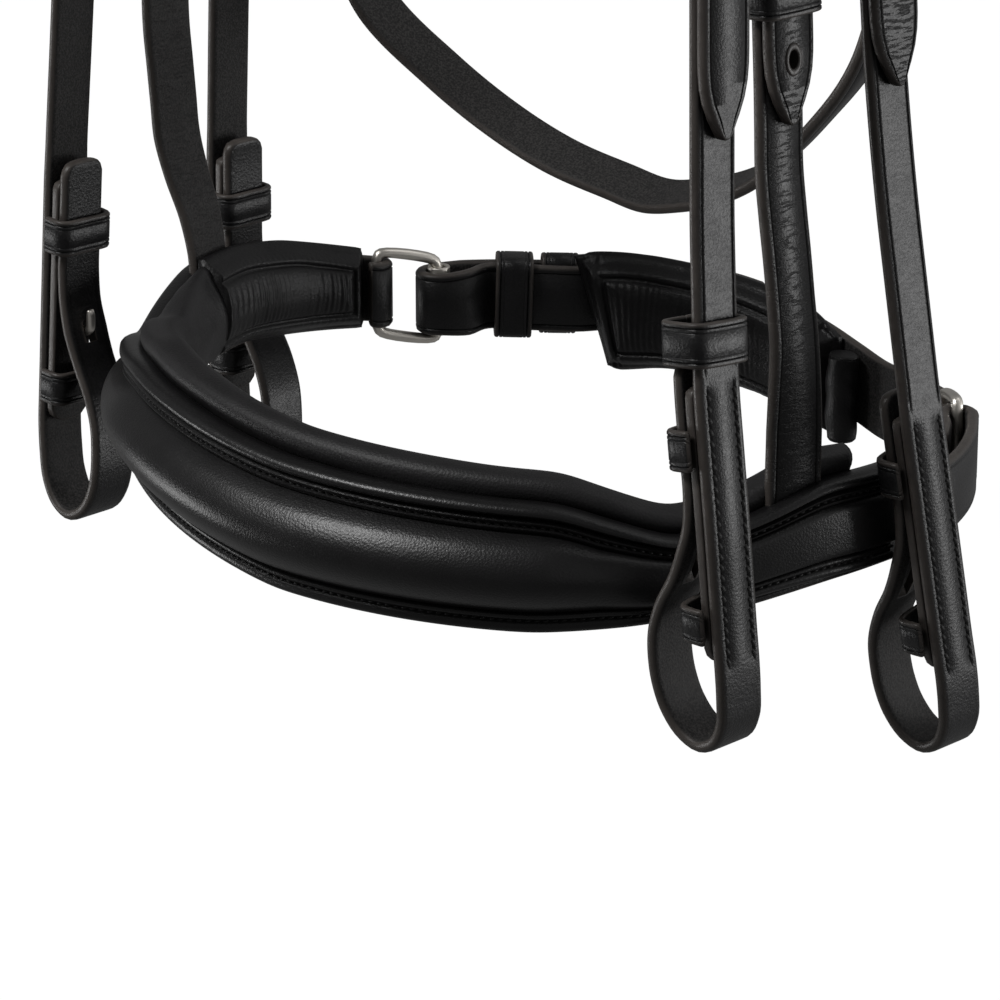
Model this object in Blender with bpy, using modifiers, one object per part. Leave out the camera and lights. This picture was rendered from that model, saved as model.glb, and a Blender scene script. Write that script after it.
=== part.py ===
"""Double-cheek padded bridle, metres, +Z up, the horse facing -Y, its left (near) side +X."""
from math import asin, atan2, cos, hypot, pi, radians, sin

import bpy
from mathutils import Vector

# Driving sizes
LEATHER_T = 0.0030          # strap leather
CLEAR = 0.0003              # gap between touching pieces
EDGE = 0.0006               # burnished edge chamfer
CHEEK_W = 0.0138
HANGER_W = 0.0144
POINT_W = 0.0160            # straps that come down from the crown
BILLET_W = 0.0154           # cheek end where it is doubled and stitched
RETURN_W = 0.0134           # end that turns back up to the stud
BILLET_LEN = 0.0955         # turned-back tip to the bottom of the loop
LINING_T = 0.0020           # inner layer stitched behind the billet
CROWN_W = 0.0552
RING_X = 0.1060             # noseband half width, to the middle of its strap
RING_Y = 0.0990
RING_SHIFT = (0.0025, 0.0025)   # noseband's middle from the crown's
RING_LOW = -0.5250          # level the noseband heights count from
JAW_W = 0.0210
CRANK_W = 0.0182
CRANK_FOLD_W = 0.0170       # narrowed where it turns inside its frame
WIRE = 0.0013               # buckle wire radius
FRAME_WIRE = 0.0014

# Heights (m above RING_LOW) by angle round the noseband, 0 at the near side, -90 at the front
NOSE_TOP = ((-180, .0440), (-165, .0440), (-149, .0345), (-138, .0400), (-120, .0440), (-105, .0425),
            (-85, .0390), (-58, .0370), (-47, .0362), (-40, .0320), (-32, .0272), (-22, .0310), (-12, .0370),
            (0, .0365))
NOSE_LOW = ((-180, .0205), (-160, .0205), (-140, .0175), (-120, .0145), (-104, .0110), (-85, .0068),
            (-50, .0060), (-36, .0080), (-20, .0128), (-12, .0140), (0, .0135))
STRAP_MID = ((-208, .0215), (-200, .0255), (-190, .0290), (-180, .0290), (-165, .0272), (-150, .0255), (-120, .0240), (-90, .0190),
             (-50, .0165), (-30, .0165), (-12, .0205), (0, .0210), (20, .0190), (44, .0175))
ARM_TOP = ((154, .0345), (167, .0402), (178, .0452), (190, .0480), (208, .0470))
ARM_LOW = ((154, .0150), (167, .0172), (178, .0190), (190, .0210), (208, .0190))
JAW_TOP = ((82, .0215), (90, .0290), (100, .0325), (109, .0340), (120, .0355), (130, .0330))
JAW_LOW = ((82, -.0040), (90, -.0015), (100, .0017), (114, .0045), (121, .0038), (130, .0120))
BACK_MID = ((44, .0170), (60, .0110), (77, .0090), (90, .0150), (104, .0205), (111, .0215), (125, .0205),
            (139, .0215), (152, .0220), (162, .0225))

CRANK_LAY = LEATHER_T + CLEAR
CRANK_RUNS_INNER = ((100, CRANK_LAY), (106, CRANK_LAY), (112, CRANK_LAY), (118, CRANK_LAY), (124, CRANK_LAY),
                    (128.5, .0010), (135, -.0009), (143, -.0016))
CRANK_RUNS_OUTER = ((102, CRANK_LAY * 2), (106, CRANK_LAY * 2), (112, CRANK_LAY * 2), (118, CRANK_LAY * 2),
                    (124, CRANK_LAY * 2), (128.5, .0044), (135, .0025), (143, .0018))
OFF_BAR_FAR, OFF_BAR_NEAR = 161.0, 150.4      # off frame's two upright bars, degrees round the ring
NEAR_BAR_FRONT, NEAR_BAR_REAR = 43.0, 54.0
ROLLER_R = 0.0030

# Side straps: (height over RING_LOW, x out from the middle, y)
NEAR_CHEEK = ((.1900, .1052, -.0550), (.1600, .1076, -.0560), (.1100, .1130, -.0600), (.0450, .1225, -.0650),
              (.0066, .1230, -.0620), (-.0200, .1230, -.0565))
OFF_CHEEK = ((.1900, .1052, -.0530), (.1160, .1140, -.0515), (.0780, .1200, -.0500), (.0100, .1240, -.0515),
             (-.0250, .1240, -.0535))
NEAR_BRADOON = ((.1900, .1068, -.0045), (.1330, .1130, -.0050), (.1060, .1165, -.0045), (.0560, .1245, -.0030),
                (-.0100, .1270, .0095), (-.0420, .1270, .0180))
OFF_BRADOON = ((.1900, .1060, -.0020), (.1080, .1170, .0035), (.0650, .1262, .0100), (-.0350, .1270, .0095))
NEAR_HANGER = ((.1900, .0985, -.0285), (.1300, .1030, -.0280), (.0700, .1070, -.0262), (.0470, .1050, -.0240),
               (.0380, .1046, -.0238), (.0308, .1046, -.0238))
OFF_HANGER = ((.1900, .0985, -.0310), (.1130, .1043, -.0295), (.0750, .1068, -.0240), (.0540, .1020, -.0200),
              (.0450, .1007, -.0200), (.0374, .1007, -.0200))
TIP_AT = {"near_cheek": .0800, "off_cheek": .0760, "near_bradoon": .0590, "off_bradoon": .0690}
ARCH = ((0, .0105), (.028, .0105), (.045, .0070), (.058, -.0020), (.068, -.0160), (.076, -.0360), (.083, -.0650),
        (.089, -.1100), (.0935, -.1700), (.0980, -.2500), (.1020, -.3150))
POINT_Y = (-.0195, 0, .0175)  # cheek, noseband and bradoon straps side by side on the crown
CROWN_END = -.0580          # where the wide crown leather stops
THROAT_W = .0130
THROAT_NEAR = ((.0815, .0180, .4450), (.0870, .0240, .3500), (.0900, .0290, .2400), (.0850, .0330, .1600),
               (.0730, .0360, .1215), (.0540, .0400, .1000), (.0320, .0436, .0815), (.0080, .0450, .0715))
THROAT_OFF = ((.0815, .0180, .4450), (.0900, .0200, .3500), (.0960, .0230, .2400), (.0970, .0260, .1500),
              (.0900, .0290, .1080), (.0720, .0370, .0900), (.0550, .0410, .0800), (.0360, .0430, .0735),
              (.0160, .0440, .0705))
THROAT_LOW = (-.0040, .0450, .0690)
BROW_AT = -.1150
BROW_W = .0200
BROW_REACH = .0620
BUCKLE_AT = -.3370
POINT_TIP = -.3955
POINT_TOP = BUCKLE_AT + .0180   # below this the crown's points follow the side straps
OFF_START = ARCH[-1][1] - RING_LOW - .0200   # below this the unbuckled off straps do
BELOW_BUCKLE = BUCKLE_AT - RING_LOW - .0130
HANGER_END = (.0309, .0375)     # near and off hangers' skived ends, on the noseband
POINT_DROPS = {"near_cheek": .0020, "near_hanger": .0060, "near_bradoon": 0, "off_cheek": .0020}


def clear_scene():
    for item in list(bpy.data.objects):
        bpy.data.objects.remove(item, do_unlink=True)


def collection(name):
    group = bpy.data.collections.new(name)
    bpy.context.scene.collection.children.link(group)
    return group


def material(name, color, metallic, roughness):
    mat = bpy.data.materials.new(name)
    mat.use_nodes = True
    shader = mat.node_tree.nodes["Principled BSDF"]
    shader.inputs["Base Color"].default_value = (*color, 1)
    shader.inputs["Metallic"].default_value = metallic
    shader.inputs["Roughness"].default_value = roughness
    mat.diffuse_color = (*color, 1)
    return mat


def finish(item, finish_name, name):
    color, metallic, roughness = {"leather": ((.022, .021, .022), 0, .45), "padding": ((.016, .016, .017), 0, .6),
                                  "metal": ((.62, .61, .58), 1, .3)}[finish_name]
    item.name = name
    item.data.name = name
    item.data.materials.clear()
    item.data.materials.append(material(name, color, metallic, roughness))
    return item


def value_at(table, at):
    """Straight-line reading of a table of (place, value...) rows."""
    rows = sorted(table)
    if at <= rows[0][0]:
        return Vector(rows[0][1:]) if len(rows[0]) > 2 else rows[0][1]
    for low, high in zip(rows, rows[1:]):
        if at <= high[0]:
            share = (at - low[0]) / (high[0] - low[0])
            values = [a + (b - a) * share for a, b in zip(low[1:], high[1:])]
            return Vector(values) if len(values) > 1 else values[0]
    return Vector(rows[-1][1:]) if len(rows[-1]) > 2 else rows[-1][1]


def smooth(rows, steps):
    """Catmull-Rom rows between the given rows."""
    out = []
    for i in range(len(rows) - 1):
        a, b, c, d = rows[max(i - 1, 0)], rows[i], rows[i + 1], rows[min(i + 2, len(rows) - 1)]
        for step in range(steps):
            t = step / steps
            out.append(tuple(q + .5 * t * ((r - p) + t * ((2 * p - 5 * q + 4 * r - s) + t * (3 * (q - r) + s - p)))
                             for p, q, r, s in zip(a, b, c, d)))
    out.append(tuple(rows[-1]))
    return out


def loft(name, sections, finish_name="leather"):
    """Closed body through matching sections, each a ring of points."""
    size = len(sections[0])
    verts = [point for section in sections for point in section]
    faces = [(i * size + k, i * size + (k + 1) % size, (i + 1) * size + (k + 1) % size, (i + 1) * size + k)
             for i in range(len(sections) - 1) for k in range(size)]
    faces += [tuple(range(size))[::-1], tuple(range(len(verts) - size, len(verts)))]
    mesh = bpy.data.meshes.new(name)
    mesh.from_pydata(verts, [], faces)
    item = bpy.data.objects.new(name, mesh)
    PARTS.objects.link(item)
    face_out(item)
    return finish(item, finish_name, name)


def face_out(item):
    bpy.context.view_layer.objects.active = item
    bpy.ops.object.select_all(action="DESELECT")
    item.select_set(True)
    bpy.ops.object.mode_set(mode="EDIT")
    bpy.ops.mesh.select_all(action="SELECT")
    bpy.ops.mesh.normals_make_consistent(inside=False)
    bpy.ops.object.mode_set(mode="OBJECT")


def strap(name, rows, across, finish_name="leather"):
    """Strap along rows of (x, y, z, width, inner thickness, outer thickness, own width axis); across is the others' width axis."""
    points = [Vector(row[:3]) for row in rows]
    sections = []
    for i, row in enumerate(rows):
        wide = Vector(row[6] if len(row) > 6 else across)
        way = points[min(i + 1, len(rows) - 1)] - points[max(i - 1, 0)]
        way = (way - wide * way.dot(wide)).normalized()
        out = way.cross(wide)
        half, low, high = row[3] / 2, -row[4], row[5]
        e = min(EDGE, (high - low) / 3, half / 2)
        ring = ((-half + e, low), (half - e, low), (half, low + e), (half, high - e), (half - e, high),
                (-half + e, high), (-half, high - e), (-half, low + e))
        sections.append([points[i] + wide * a + out * b for a, b in ring])
    return loft(name, sections, finish_name)


def ring_point(angle, out=0, z=0):
    """Point on the noseband's plan oval, out metres outside its middle line."""
    a = radians(angle)
    normal = Vector((cos(a) / RING_X, sin(a) / RING_Y, 0)).normalized()
    return Vector((RING_X * cos(a) + RING_SHIFT[0], RING_Y * sin(a) + RING_SHIFT[1], RING_LOW + z)) + normal * out


def cut(item, cutter):
    modifier = item.modifiers.new("cut", "BOOLEAN")
    modifier.operation = "DIFFERENCE"
    modifier.solver = "EXACT"
    modifier.object = cutter
    return item


def box_cutter(name, center, size, turn=0):
    bpy.ops.mesh.primitive_cube_add(size=1, location=center, rotation=(0, turn, 0))
    item = bpy.context.object
    item.name = name
    item.dimensions = size
    bpy.ops.object.transform_apply(location=False, rotation=False, scale=True)
    move_to(item, CUTTERS)
    item.hide_render = True
    item.display_type = "WIRE"
    return item


def move_to(item, group):
    for old in list(item.users_collection):
        old.objects.unlink(item)
    group.objects.link(item)


def wire(name, points, radius, closed, finish_name="metal"):
    """Round wire through points, filled ends, as a mesh."""
    data = bpy.data.curves.new(name, "CURVE")
    data.dimensions = "3D"
    data.bevel_depth = radius
    data.bevel_resolution = 2
    data.use_fill_caps = True
    line = data.splines.new("POLY")
    line.points.add(len(points) - 1)
    for spot, point in zip(line.points, points):
        spot.co = (*point, 1)
    line.use_cyclic_u = closed
    source = bpy.data.objects.new(name + "_curve", data)
    PARTS.objects.link(source)
    mesh = bpy.data.meshes.new_from_object(source.evaluated_get(bpy.context.evaluated_depsgraph_get()))
    bpy.data.objects.remove(source, do_unlink=True)
    item = bpy.data.objects.new(name, mesh)
    PARTS.objects.link(item)
    bpy.context.view_layer.objects.active = item
    bpy.ops.object.select_all(action="DESELECT")
    item.select_set(True)
    bpy.ops.object.mode_set(mode="EDIT")
    bpy.ops.mesh.select_all(action="SELECT")
    bpy.ops.mesh.remove_doubles(threshold=1e-5)
    bpy.ops.mesh.normals_make_consistent(inside=False)
    bpy.ops.object.mode_set(mode="OBJECT")
    return finish(item, finish_name, name)


def rounded_rectangle(half_a, half_b, radius, per=3):
    spots = []
    for ca, cb, start in ((1, 1, 0), (-1, 1, 90), (-1, -1, 180), (1, -1, 270)):
        for step in range(per + 1):
            turn = radians(start + 90 * step / per)
            spots.append((ca * (half_a - radius) + radius * cos(turn), cb * (half_b - radius) + radius * sin(turn)))
    return spots


def keeper(name, center, out, wide, half_out, half_wide, height, wall=.0016, opened=False):
    """Leather band round straps: inner half sizes, height along the strap; opened leaves its outer side off."""
    up = out.cross(wide).normalized()
    inner = rounded_rectangle(half_out, half_wide, .0012)
    outer = rounded_rectangle(half_out + wall, half_wide + wall, .0012 + wall)
    if opened:
        inner = [spot for spot in inner if spot[0] < 0]
        outer = [spot for spot in outer if spot[0] < 0]
        inner = [(half_out, inner[0][1])] + inner + [(half_out, inner[-1][1])]
        outer = [(half_out, outer[0][1])] + outer + [(half_out, outer[-1][1])]
    half, e = height / 2, EDGE / 2
    sections = []
    for (ia, ib), (oa, ob) in zip(inner, outer):
        low, high = Vector((ia, ib)), Vector((oa, ob))
        near, far = low.lerp(high, e / wall), high.lerp(low, e / wall)
        ring = ((low, -half + e), (near, -half), (far, -half), (high, -half + e), (high, half - e), (far, half),
                (near, half), (low, half - e))
        sections.append([center + out * s.x + wide * s.y + up * h for s, h in ring])
    if opened:
        return loft(name, sections)
    size, count = 8, len(sections)
    verts = [point for section in sections for point in section]
    faces = [(i * size + k, i * size + (k + 1) % size, (i + 1) % count * size + (k + 1) % size,
              (i + 1) % count * size + k) for i in range(count) for k in range(size)]
    mesh = bpy.data.meshes.new(name)
    mesh.from_pydata(verts, [], faces)
    item = bpy.data.objects.new(name, mesh)
    PARTS.objects.link(item)
    face_out(item)
    return finish(item, "leather", name)


def along(table, height):
    """(x, y, z) of a side strap's middle at a height over RING_LOW."""
    spot = value_at(table, height)
    return Vector((spot.x, spot.y, RING_LOW + height))


def frame_at(table, side, height, shift=0):
    """Middle, outward and width directions of a side strap there; shift moves along outward."""
    low, high = along(table, height - .004), along(table, height + .004)
    here = along(table, height)
    here.x *= side
    way = high - low
    way.x *= side
    out = Vector((way.z, 0, -way.x)).normalized() * side
    wide = out.cross(way).normalized() * -side
    return here + out * shift, out, wide if wide.y > 0 else -wide


# Loop path: (out from the strap's middle, down from the tip), as shares of BILLET_LEN where marked
LOOP = ((0, .600), (-.0002, .740), (-.0012, .830), (-.0042, .915), (-.0098, .9843), (-.0150, .955), (-.0192, .890),
        (-.0208, .800), (-.0202, .710), (-.0172, .625), (-.0128, .550), (-.0092, .470))
RETURN_OUT = LEATHER_T + LINING_T + 2 * CLEAR
LINING_AT = (.060, .745)    # shares of BILLET_LEN the stitched inner layer covers


def billet_rows(table, side, tip, top_rows):
    """Rows of a cheek: down its outside, round the loop and back up its inside to the tip."""
    rows = list(top_rows)
    plain = LEATHER_T / 2

    def row(out, share, width, inner):
        here, _, _ = frame_at(table, side, tip - BILLET_LEN * share, out)
        rows.append((*here, width, inner, inner))
    row(0, -.020, CHEEK_W, plain)
    for share in (.060, .225, .400, .560, .655, .757):
        row(0, share, BILLET_W, plain)
    ends = smooth([(a, b) for a, b in LOOP[2:]], 2)
    for out, share in ends:
        row(out, share, BILLET_W + (RETURN_W - BILLET_W) * max(0, (.95 - share) / .5) * (out < -.0098), plain)
    for out, share in ((-.0070, .400), (-RETURN_OUT, .330), (-RETURN_OUT, .180), (-RETURN_OUT, .065),
                       (-RETURN_OUT, .030)):
        row(out, share, RETURN_W, plain)
    for share, width in ((.012, .84), (.003, .6), (0, .36)):
        row(-RETURN_OUT, share, RETURN_W * width, plain)
    return rows


def spread(high, low, count):
    return [high + (low - high) * i / (count - 1) for i in range(count)]


def bends(table, high, low):
    """Heights from high to low, with the table's own bends between them."""
    return [high] + [row[0] for row in table if low + .010 < row[0] < high - .010] + [low]


def side_rows(table, side, heights, width):
    rows = []
    for height in heights:
        here, _, _ = frame_at(table, side, height)
        rows.append((*here, width, LEATHER_T / 2, LEATHER_T / 2))
    return rows


def top_fold(table, side, width):
    """Rows of a strap's top: up the inside, round the buckle bar and down the outside."""
    bar = BUCKLE_AT - RING_LOW
    reach = WIRE + CLEAR + LEATHER_T / 2
    rows = []
    for height in (bar - .026, bar - .014, bar - .004):
        here, _, _ = frame_at(table, side, height, -2 * reach)
        rows.append((*here, width, LEATHER_T / 2, LEATHER_T / 2))
    for turn in (150, 120, 90, 60, 30):
        here, out, _ = frame_at(table, side, bar, -reach)
        spot = here + out * reach * cos(radians(turn)) + Vector((0, 0, reach * sin(radians(turn))))
        rows.append((*spot, width, LEATHER_T / 2, LEATHER_T / 2))
    return rows


def stud(prefix, table, side, tip):
    """Hook stud riveted in the billet's lining, its hook turned up behind the returned end."""
    height = tip - BILLET_LEN * .475
    here, out, _ = frame_at(table, side, height)
    back = LEATHER_T / 2 + LINING_T + 2 * CLEAR
    root = here - out * back
    reach = .0094 - back
    up = Vector((0, 0, 1))
    points = [root, root - out * reach]
    for turn in (30, 60, 90):
        points.append(root - out * (reach + .0022 * sin(radians(turn))) + up * .0022 * (1 - cos(radians(turn))))
    points.append(points[-1] + up * .0042)
    return wire(prefix + "_stud", points, .0012, False)


def make_billet(prefix, table, side, rows):
    tip = TIP_AT[prefix]
    item = strap(prefix + ("_cheek" if "bradoon" in prefix else "_strap"), rows, (0, 1, 0))
    height = tip - BILLET_LEN * .475
    here, out, _ = frame_at(table, side, height, -.0090)
    slit = box_cutter(prefix + "_slit", here - Vector((0, 0, .0035)), (.0056, .0032, .0140))
    cut(item, slit)
    rows = []
    for share, width in ((LINING_AT[0], .7), (LINING_AT[0] + .012, 1), (.225, 1), (.400, 1), (.560, 1), (.655, 1),
                         (LINING_AT[1] - .03, 1), (LINING_AT[1] - .01, .7), (LINING_AT[1], .4)):
        here, _, _ = frame_at(table, side, tip - BILLET_LEN * share, -(LEATHER_T + LINING_T) / 2 - CLEAR)
        rows.append((*here, (RETURN_W - .0008) * width, LINING_T / 2, LINING_T / 2))
    strap(prefix + "_lining", rows, (0, 1, 0))
    near, far = LEATHER_T / 2 + CLEAR, RETURN_OUT + LEATHER_T / 2 + CLEAR
    for part, share, tall in (("_upper_keeper", .225, .0105), ("_lower_keeper", .655, .0100)):
        center, out, wide = frame_at(table, side, tip - BILLET_LEN * share, -(near + far) / 2)
        keeper(prefix + part, center, out, wide, (far - near) / 2, RETURN_W / 2 + 2 * CLEAR, tall, opened=True)
    stud(prefix, table, side, tip)
    return item


def buckle(prefix, table, side, strap_w, point_item, low_item):
    """Wire frame whose lower bar holds the strap's fold, with its tongue through the point's hole."""
    bar = BUCKLE_AT - RING_LOW
    reach = WIRE + CLEAR + LEATHER_T / 2
    here, out, wide = frame_at(table, side, bar, -reach)
    up = Vector((0, 0, 1))
    span = POINT_W / 2 + WIRE + .0008
    lift, push = .0150, reach + LEATHER_T * 1.5 + 2 * CLEAR + WIRE
    corners = ((0, 1), (.25, 1), (1, 1), (1, -1), (.25, -1), (0, -1))
    points = [here + out * push * a + up * lift * a + wide * span * b for a, b in corners]
    wire(prefix + "_buckle", points, WIRE, True)
    tongue_r = .0010
    rise = atan2(lift, push) - asin((WIRE + tongue_r + CLEAR) / hypot(push, lift))
    way = out * cos(rise) + up * sin(rise)
    start = here + way * (WIRE + CLEAR)
    length = hypot(push, lift) + .0030
    wire(prefix + "_tongue", [start, here + way * length * .5, here + way * length], tongue_r, False)
    turn = -side * (rise - atan2(out.z * side, out.x * side) * 0)
    hole = box_cutter(prefix + "_hole", here + way * length * .52, (.0200, .0034, .0042), turn)
    cut(point_item, hole)
    slot = box_cutter(prefix + "_slot", here + way * .0042, (.0100, .0034, .0080), turn)
    cut(low_item, slot)
    return here, out, wide


def point_rows(prefix, table, side):
    """Rows of a crown strap lying outside the side strap below the buckle, to its pointed tip."""
    lay = LEATHER_T + CLEAR
    tip = POINT_TIP - POINT_DROPS[prefix] - RING_LOW
    rows = []
    for height, share in ((BUCKLE_AT - RING_LOW, 1), (tip + .030, 1), (tip + .012, 1), (tip + .004, .82),
                          (tip + .001, .50), (tip, .26)):
        here, _, _ = frame_at(table, side, height, lay)
        rows.append((*here, POINT_W * share, LEATHER_T / 2, LEATHER_T / 2))
    return rows


def arch_rows(side, y_top, table, lay, width, start, stop=-9):
    """Rows down one side of the arch, lay outside the crown leather's middle, drifting to a side strap's top."""
    rows = []
    fine = smooth(ARCH, 2)
    for i, (x, z) in enumerate(fine):
        if x < start or z < stop:
            continue
        before, after = fine[max(i - 1, 0)], fine[min(i + 1, len(fine) - 1)]
        way = Vector((after[0] - before[0], 0, after[1] - before[1])).normalized()
        out = Vector((-way.z, 0, way.x))
        share = min(1, max(0, (CROWN_END - z) / .257))
        goal = value_at(table, .190) if table else Vector((.1034, y_top))
        y = y_top + (goal.y - y_top) * share
        x += (goal.x - .1034) * share
        rows.append(((x + out.x * lay) * side, y, z + out.z * lay, width, LEATHER_T / 2, LEATHER_T / 2))
    return rows


def make_crown():
    lay = LEATHER_T + CLEAR
    left = arch_rows(-1, 0, None, 0, CROWN_W, .001, CROWN_END)
    right = arch_rows(1, 0, None, 0, CROWN_W, .001, CROWN_END)
    middle = [(0, 0, ARCH[0][1], CROWN_W, LEATHER_T / 2, LEATHER_T / 2)]
    strap("crown_leather", left[::-1] + middle + right, (0, 1, 0))
    sections = []
    for x, thick, half in ((-.041, .5, .75), (-.038, .85, .92), (-.030, 1, 1), (-.026, 1, 1), (.026, 1, 1),
                           (.030, 1, 1), (.038, .85, .92), (.041, .5, .75)):
        half_w = (CROWN_W / 2 + .002) * half
        top = value_at(ARCH, abs(x)) - LEATHER_T / 2 - CLEAR - (.0003 if abs(x) > .027 else 0)
        ring = ((-half_w + .002, 0), (half_w - .002, 0), (half_w, .0022), (half_w, top * .62),
                (half_w - .004, top * thick), (-half_w + .004, top * thick), (-half_w, top * .62), (-half_w, .0022))
        sections.append([Vector((x, y, z)) for y, z in ring])
    loft("crown_pad", sections, "padding")
    points = {}
    for side, name, table in ((1, "near", NEAR_CHEEK), (-1, "off", OFF_CHEEK)):
        down = arch_rows(side, POINT_Y[0], table, lay, POINT_W, .0595, POINT_TOP)
        points[name] = strap(name + "_cheek_point", down + point_rows(name + "_cheek", table, side), (0, 1, 0))
    return points


def over_crown(prefix, y_top, near_table, off_table, off_rows):
    """Rows from a pointed near tip over the crown and down the off side."""
    lay = LEATHER_T + CLEAR
    near = arch_rows(1, y_top, near_table, lay, POINT_W, .001, POINT_TOP) + point_rows(prefix, near_table, 1)
    middle = [(0, y_top, ARCH[0][1] + lay, POINT_W, LEATHER_T / 2, LEATHER_T / 2)]
    off = arch_rows(-1, y_top, off_table, lay, POINT_W, .001)
    return near[::-1] + middle + off + off_rows


def hanger_rows(table, side, heights):
    """Rows of a noseband hanger, its skived end turned to lie along the noseband."""
    rows = []
    for height in heights:
        here, _, _ = frame_at(table, side, height)
        turn = min(1, max(0, (.075 - height) / .025))
        slant = atan2((here.y - RING_SHIFT[1]) / RING_Y ** 2, abs(here.x - RING_SHIFT[0]) / RING_X ** 2) * side * turn
        half = LEATHER_T / 2 * (1 - .14 * turn)
        rows.append((*here, HANGER_W, half, half, Vector((-sin(slant), cos(slant), 0))))
    return rows


def make_sides(points):
    made = []
    for prefix, table, side in (("near_cheek", NEAR_CHEEK, 1), ("off_cheek", OFF_CHEEK, -1),
                                ("near_bradoon", NEAR_BRADOON, 1)):
        tip = TIP_AT[prefix]
        rows = top_fold(table, side, CHEEK_W)
        rows += side_rows(table, side, bends(table, BELOW_BUCKLE, tip + .016), CHEEK_W)
        made.append(make_billet(prefix, table, side, billet_rows(table, side, tip, rows)))
    near, off, bradoon = made
    rows = top_fold(NEAR_HANGER, 1, HANGER_W)
    rows += hanger_rows(NEAR_HANGER, 1, spread(BELOW_BUCKLE, HANGER_END[0], 15))
    hanger = strap("near_hanger_strap", rows, (0, 1, 0))
    tip = TIP_AT["off_bradoon"]
    down = side_rows(OFF_BRADOON, -1, bends(OFF_BRADOON, OFF_START, tip + .016), CHEEK_W)
    rows = over_crown("near_bradoon", POINT_Y[2], NEAR_BRADOON, OFF_BRADOON,
                      billet_rows(OFF_BRADOON, -1, tip, down))
    over = make_billet("off_bradoon", OFF_BRADOON, -1, rows)
    down = hanger_rows(OFF_HANGER, -1, spread(OFF_START, HANGER_END[1], 16))
    nose = strap("noseband_headstrap", over_crown("near_hanger", POINT_Y[1], NEAR_HANGER, OFF_HANGER, down), (0, 1, 0))
    for prefix, table, side, point, low in (("near_cheek", NEAR_CHEEK, 1, points["near"], near),
                                            ("off_cheek", OFF_CHEEK, -1, points["off"], off),
                                            ("near_bradoon", NEAR_BRADOON, 1, over, bradoon),
                                            ("near_hanger", NEAR_HANGER, 1, nose, hanger)):
        buckle(prefix, table, side, CHEEK_W, point, low)


def make_runners():
    """Loose bands: round each buckled pair, and round the near cheek with its returned tip."""
    pair = LEATHER_T + CLEAR / 2
    for prefix, table, side, drop in (("near_cheek", NEAR_CHEEK, 1, .0160), ("off_cheek", OFF_CHEEK, -1, .0160),
                                      ("near_bradoon", NEAR_BRADOON, 1, .0160), ("near_hanger", NEAR_HANGER, 1, .0350)):
        at = BUCKLE_AT - RING_LOW - drop
        inner = drop < .0310
        fold = 2 * (WIRE + CLEAR + LEATHER_T / 2) if inner else 0
        center, out, wide = frame_at(table, side, at, (LEATHER_T + CLEAR) / 2 - fold / 2)
        keeper(prefix + "_point_keeper", center, out, wide, pair + fold / 2 + CLEAR, POINT_W / 2 + CLEAR, .0095)
    depth = RETURN_OUT + LEATHER_T
    center, out, wide = frame_at(NEAR_CHEEK, 1, TIP_AT["near_cheek"] + .0035, -RETURN_OUT / 2)
    keeper("near_cheek_runner", center, out, wide, depth / 2 + CLEAR, BILLET_W / 2 + CLEAR, .0108)


def swelled(name, start, stop, steps, shape, finish_name, levels=0):
    """Body bent round the noseband: shape(angle, share) gives its section as (out, height)."""
    sections = []
    for i in range(steps + 1):
        share = i / steps
        angle = start + (stop - start) * share
        sections.append([ring_point(angle, out, z) for out, z in shape(angle, share)])
    item = loft(name, sections, finish_name)
    if levels:
        soft = item.modifiers.new("soft", "SUBSURF")
        soft.levels = soft.render_levels = levels
    return item


def nose_section(angle, share):
    top, low = value_at(NOSE_TOP, angle), value_at(NOSE_LOW, angle)
    tall = top - low
    swell = .0070 * min(1, (tall / .032) ** 2) * sin(pi * min(1, max(0, .5 - abs(share - .5)) * 6 + .25) / 2)
    in_face, rim = .0019, .0044
    return [(in_face, low), (rim, low), (rim + .0006, low + .0016), (rim - .0004, low + .0034),
            (rim + swell * .55, low + tall * .24), (rim + swell * .92, low + tall * .38),
            (rim + swell, low + tall * .5), (rim + swell * .92, low + tall * .63), (rim + swell * .55, low + tall * .77),
            (rim - .0004, top - .0034), (rim + .0006, top - .0016), (rim, top), (in_face, top)]


def lining_section(angle, share):
    top, low = value_at(NOSE_TOP, angle) + .0058, value_at(NOSE_LOW, angle) + .0012
    end = min(1, 12 * min(share, 1 - share) + .45)
    face = -LEATHER_T / 2 - CLEAR
    deep = face - .0088 * end
    middle = (face + deep) / 2
    return [(face, low + .002), (face, (top + low) / 2), (face, top - .0075), (face - .0002, top - .0030),
            (middle + .0006, top), (deep + .0010, top - .0022), (deep, top - .0085), (deep - .0006, (top + low) / 2),
            (deep + .0006, low + .003), (middle, low)]


def pad_section(top_table, low_table, face, thick):
    def section(angle, share):
        top, low = value_at(top_table, angle), value_at(low_table, angle)
        end = min(1, 7 * min(share, 1 - share) + .4)
        deep = face - thick * end
        middle = (face + deep) / 2
        return [(face, low + .0016), (face, (top + low) / 2), (face, top - .0016), (middle, top),
                (deep + .0004, top - .0026), (deep + .0018, top - .0062), (deep - .0006, top - .0100),
                (deep - .0010, (top + low) / 2), (deep - .0006, low + .0100), (deep + .0018, low + .0062),
                (deep + .0004, low + .0026), (middle, low)]
    return section


def ring_rows(angles, table, out, width, thick=LEATHER_T):
    return [(*ring_point(angle, out, value_at(table, angle)), width, thick / 2, thick / 2) for angle in angles]


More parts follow.
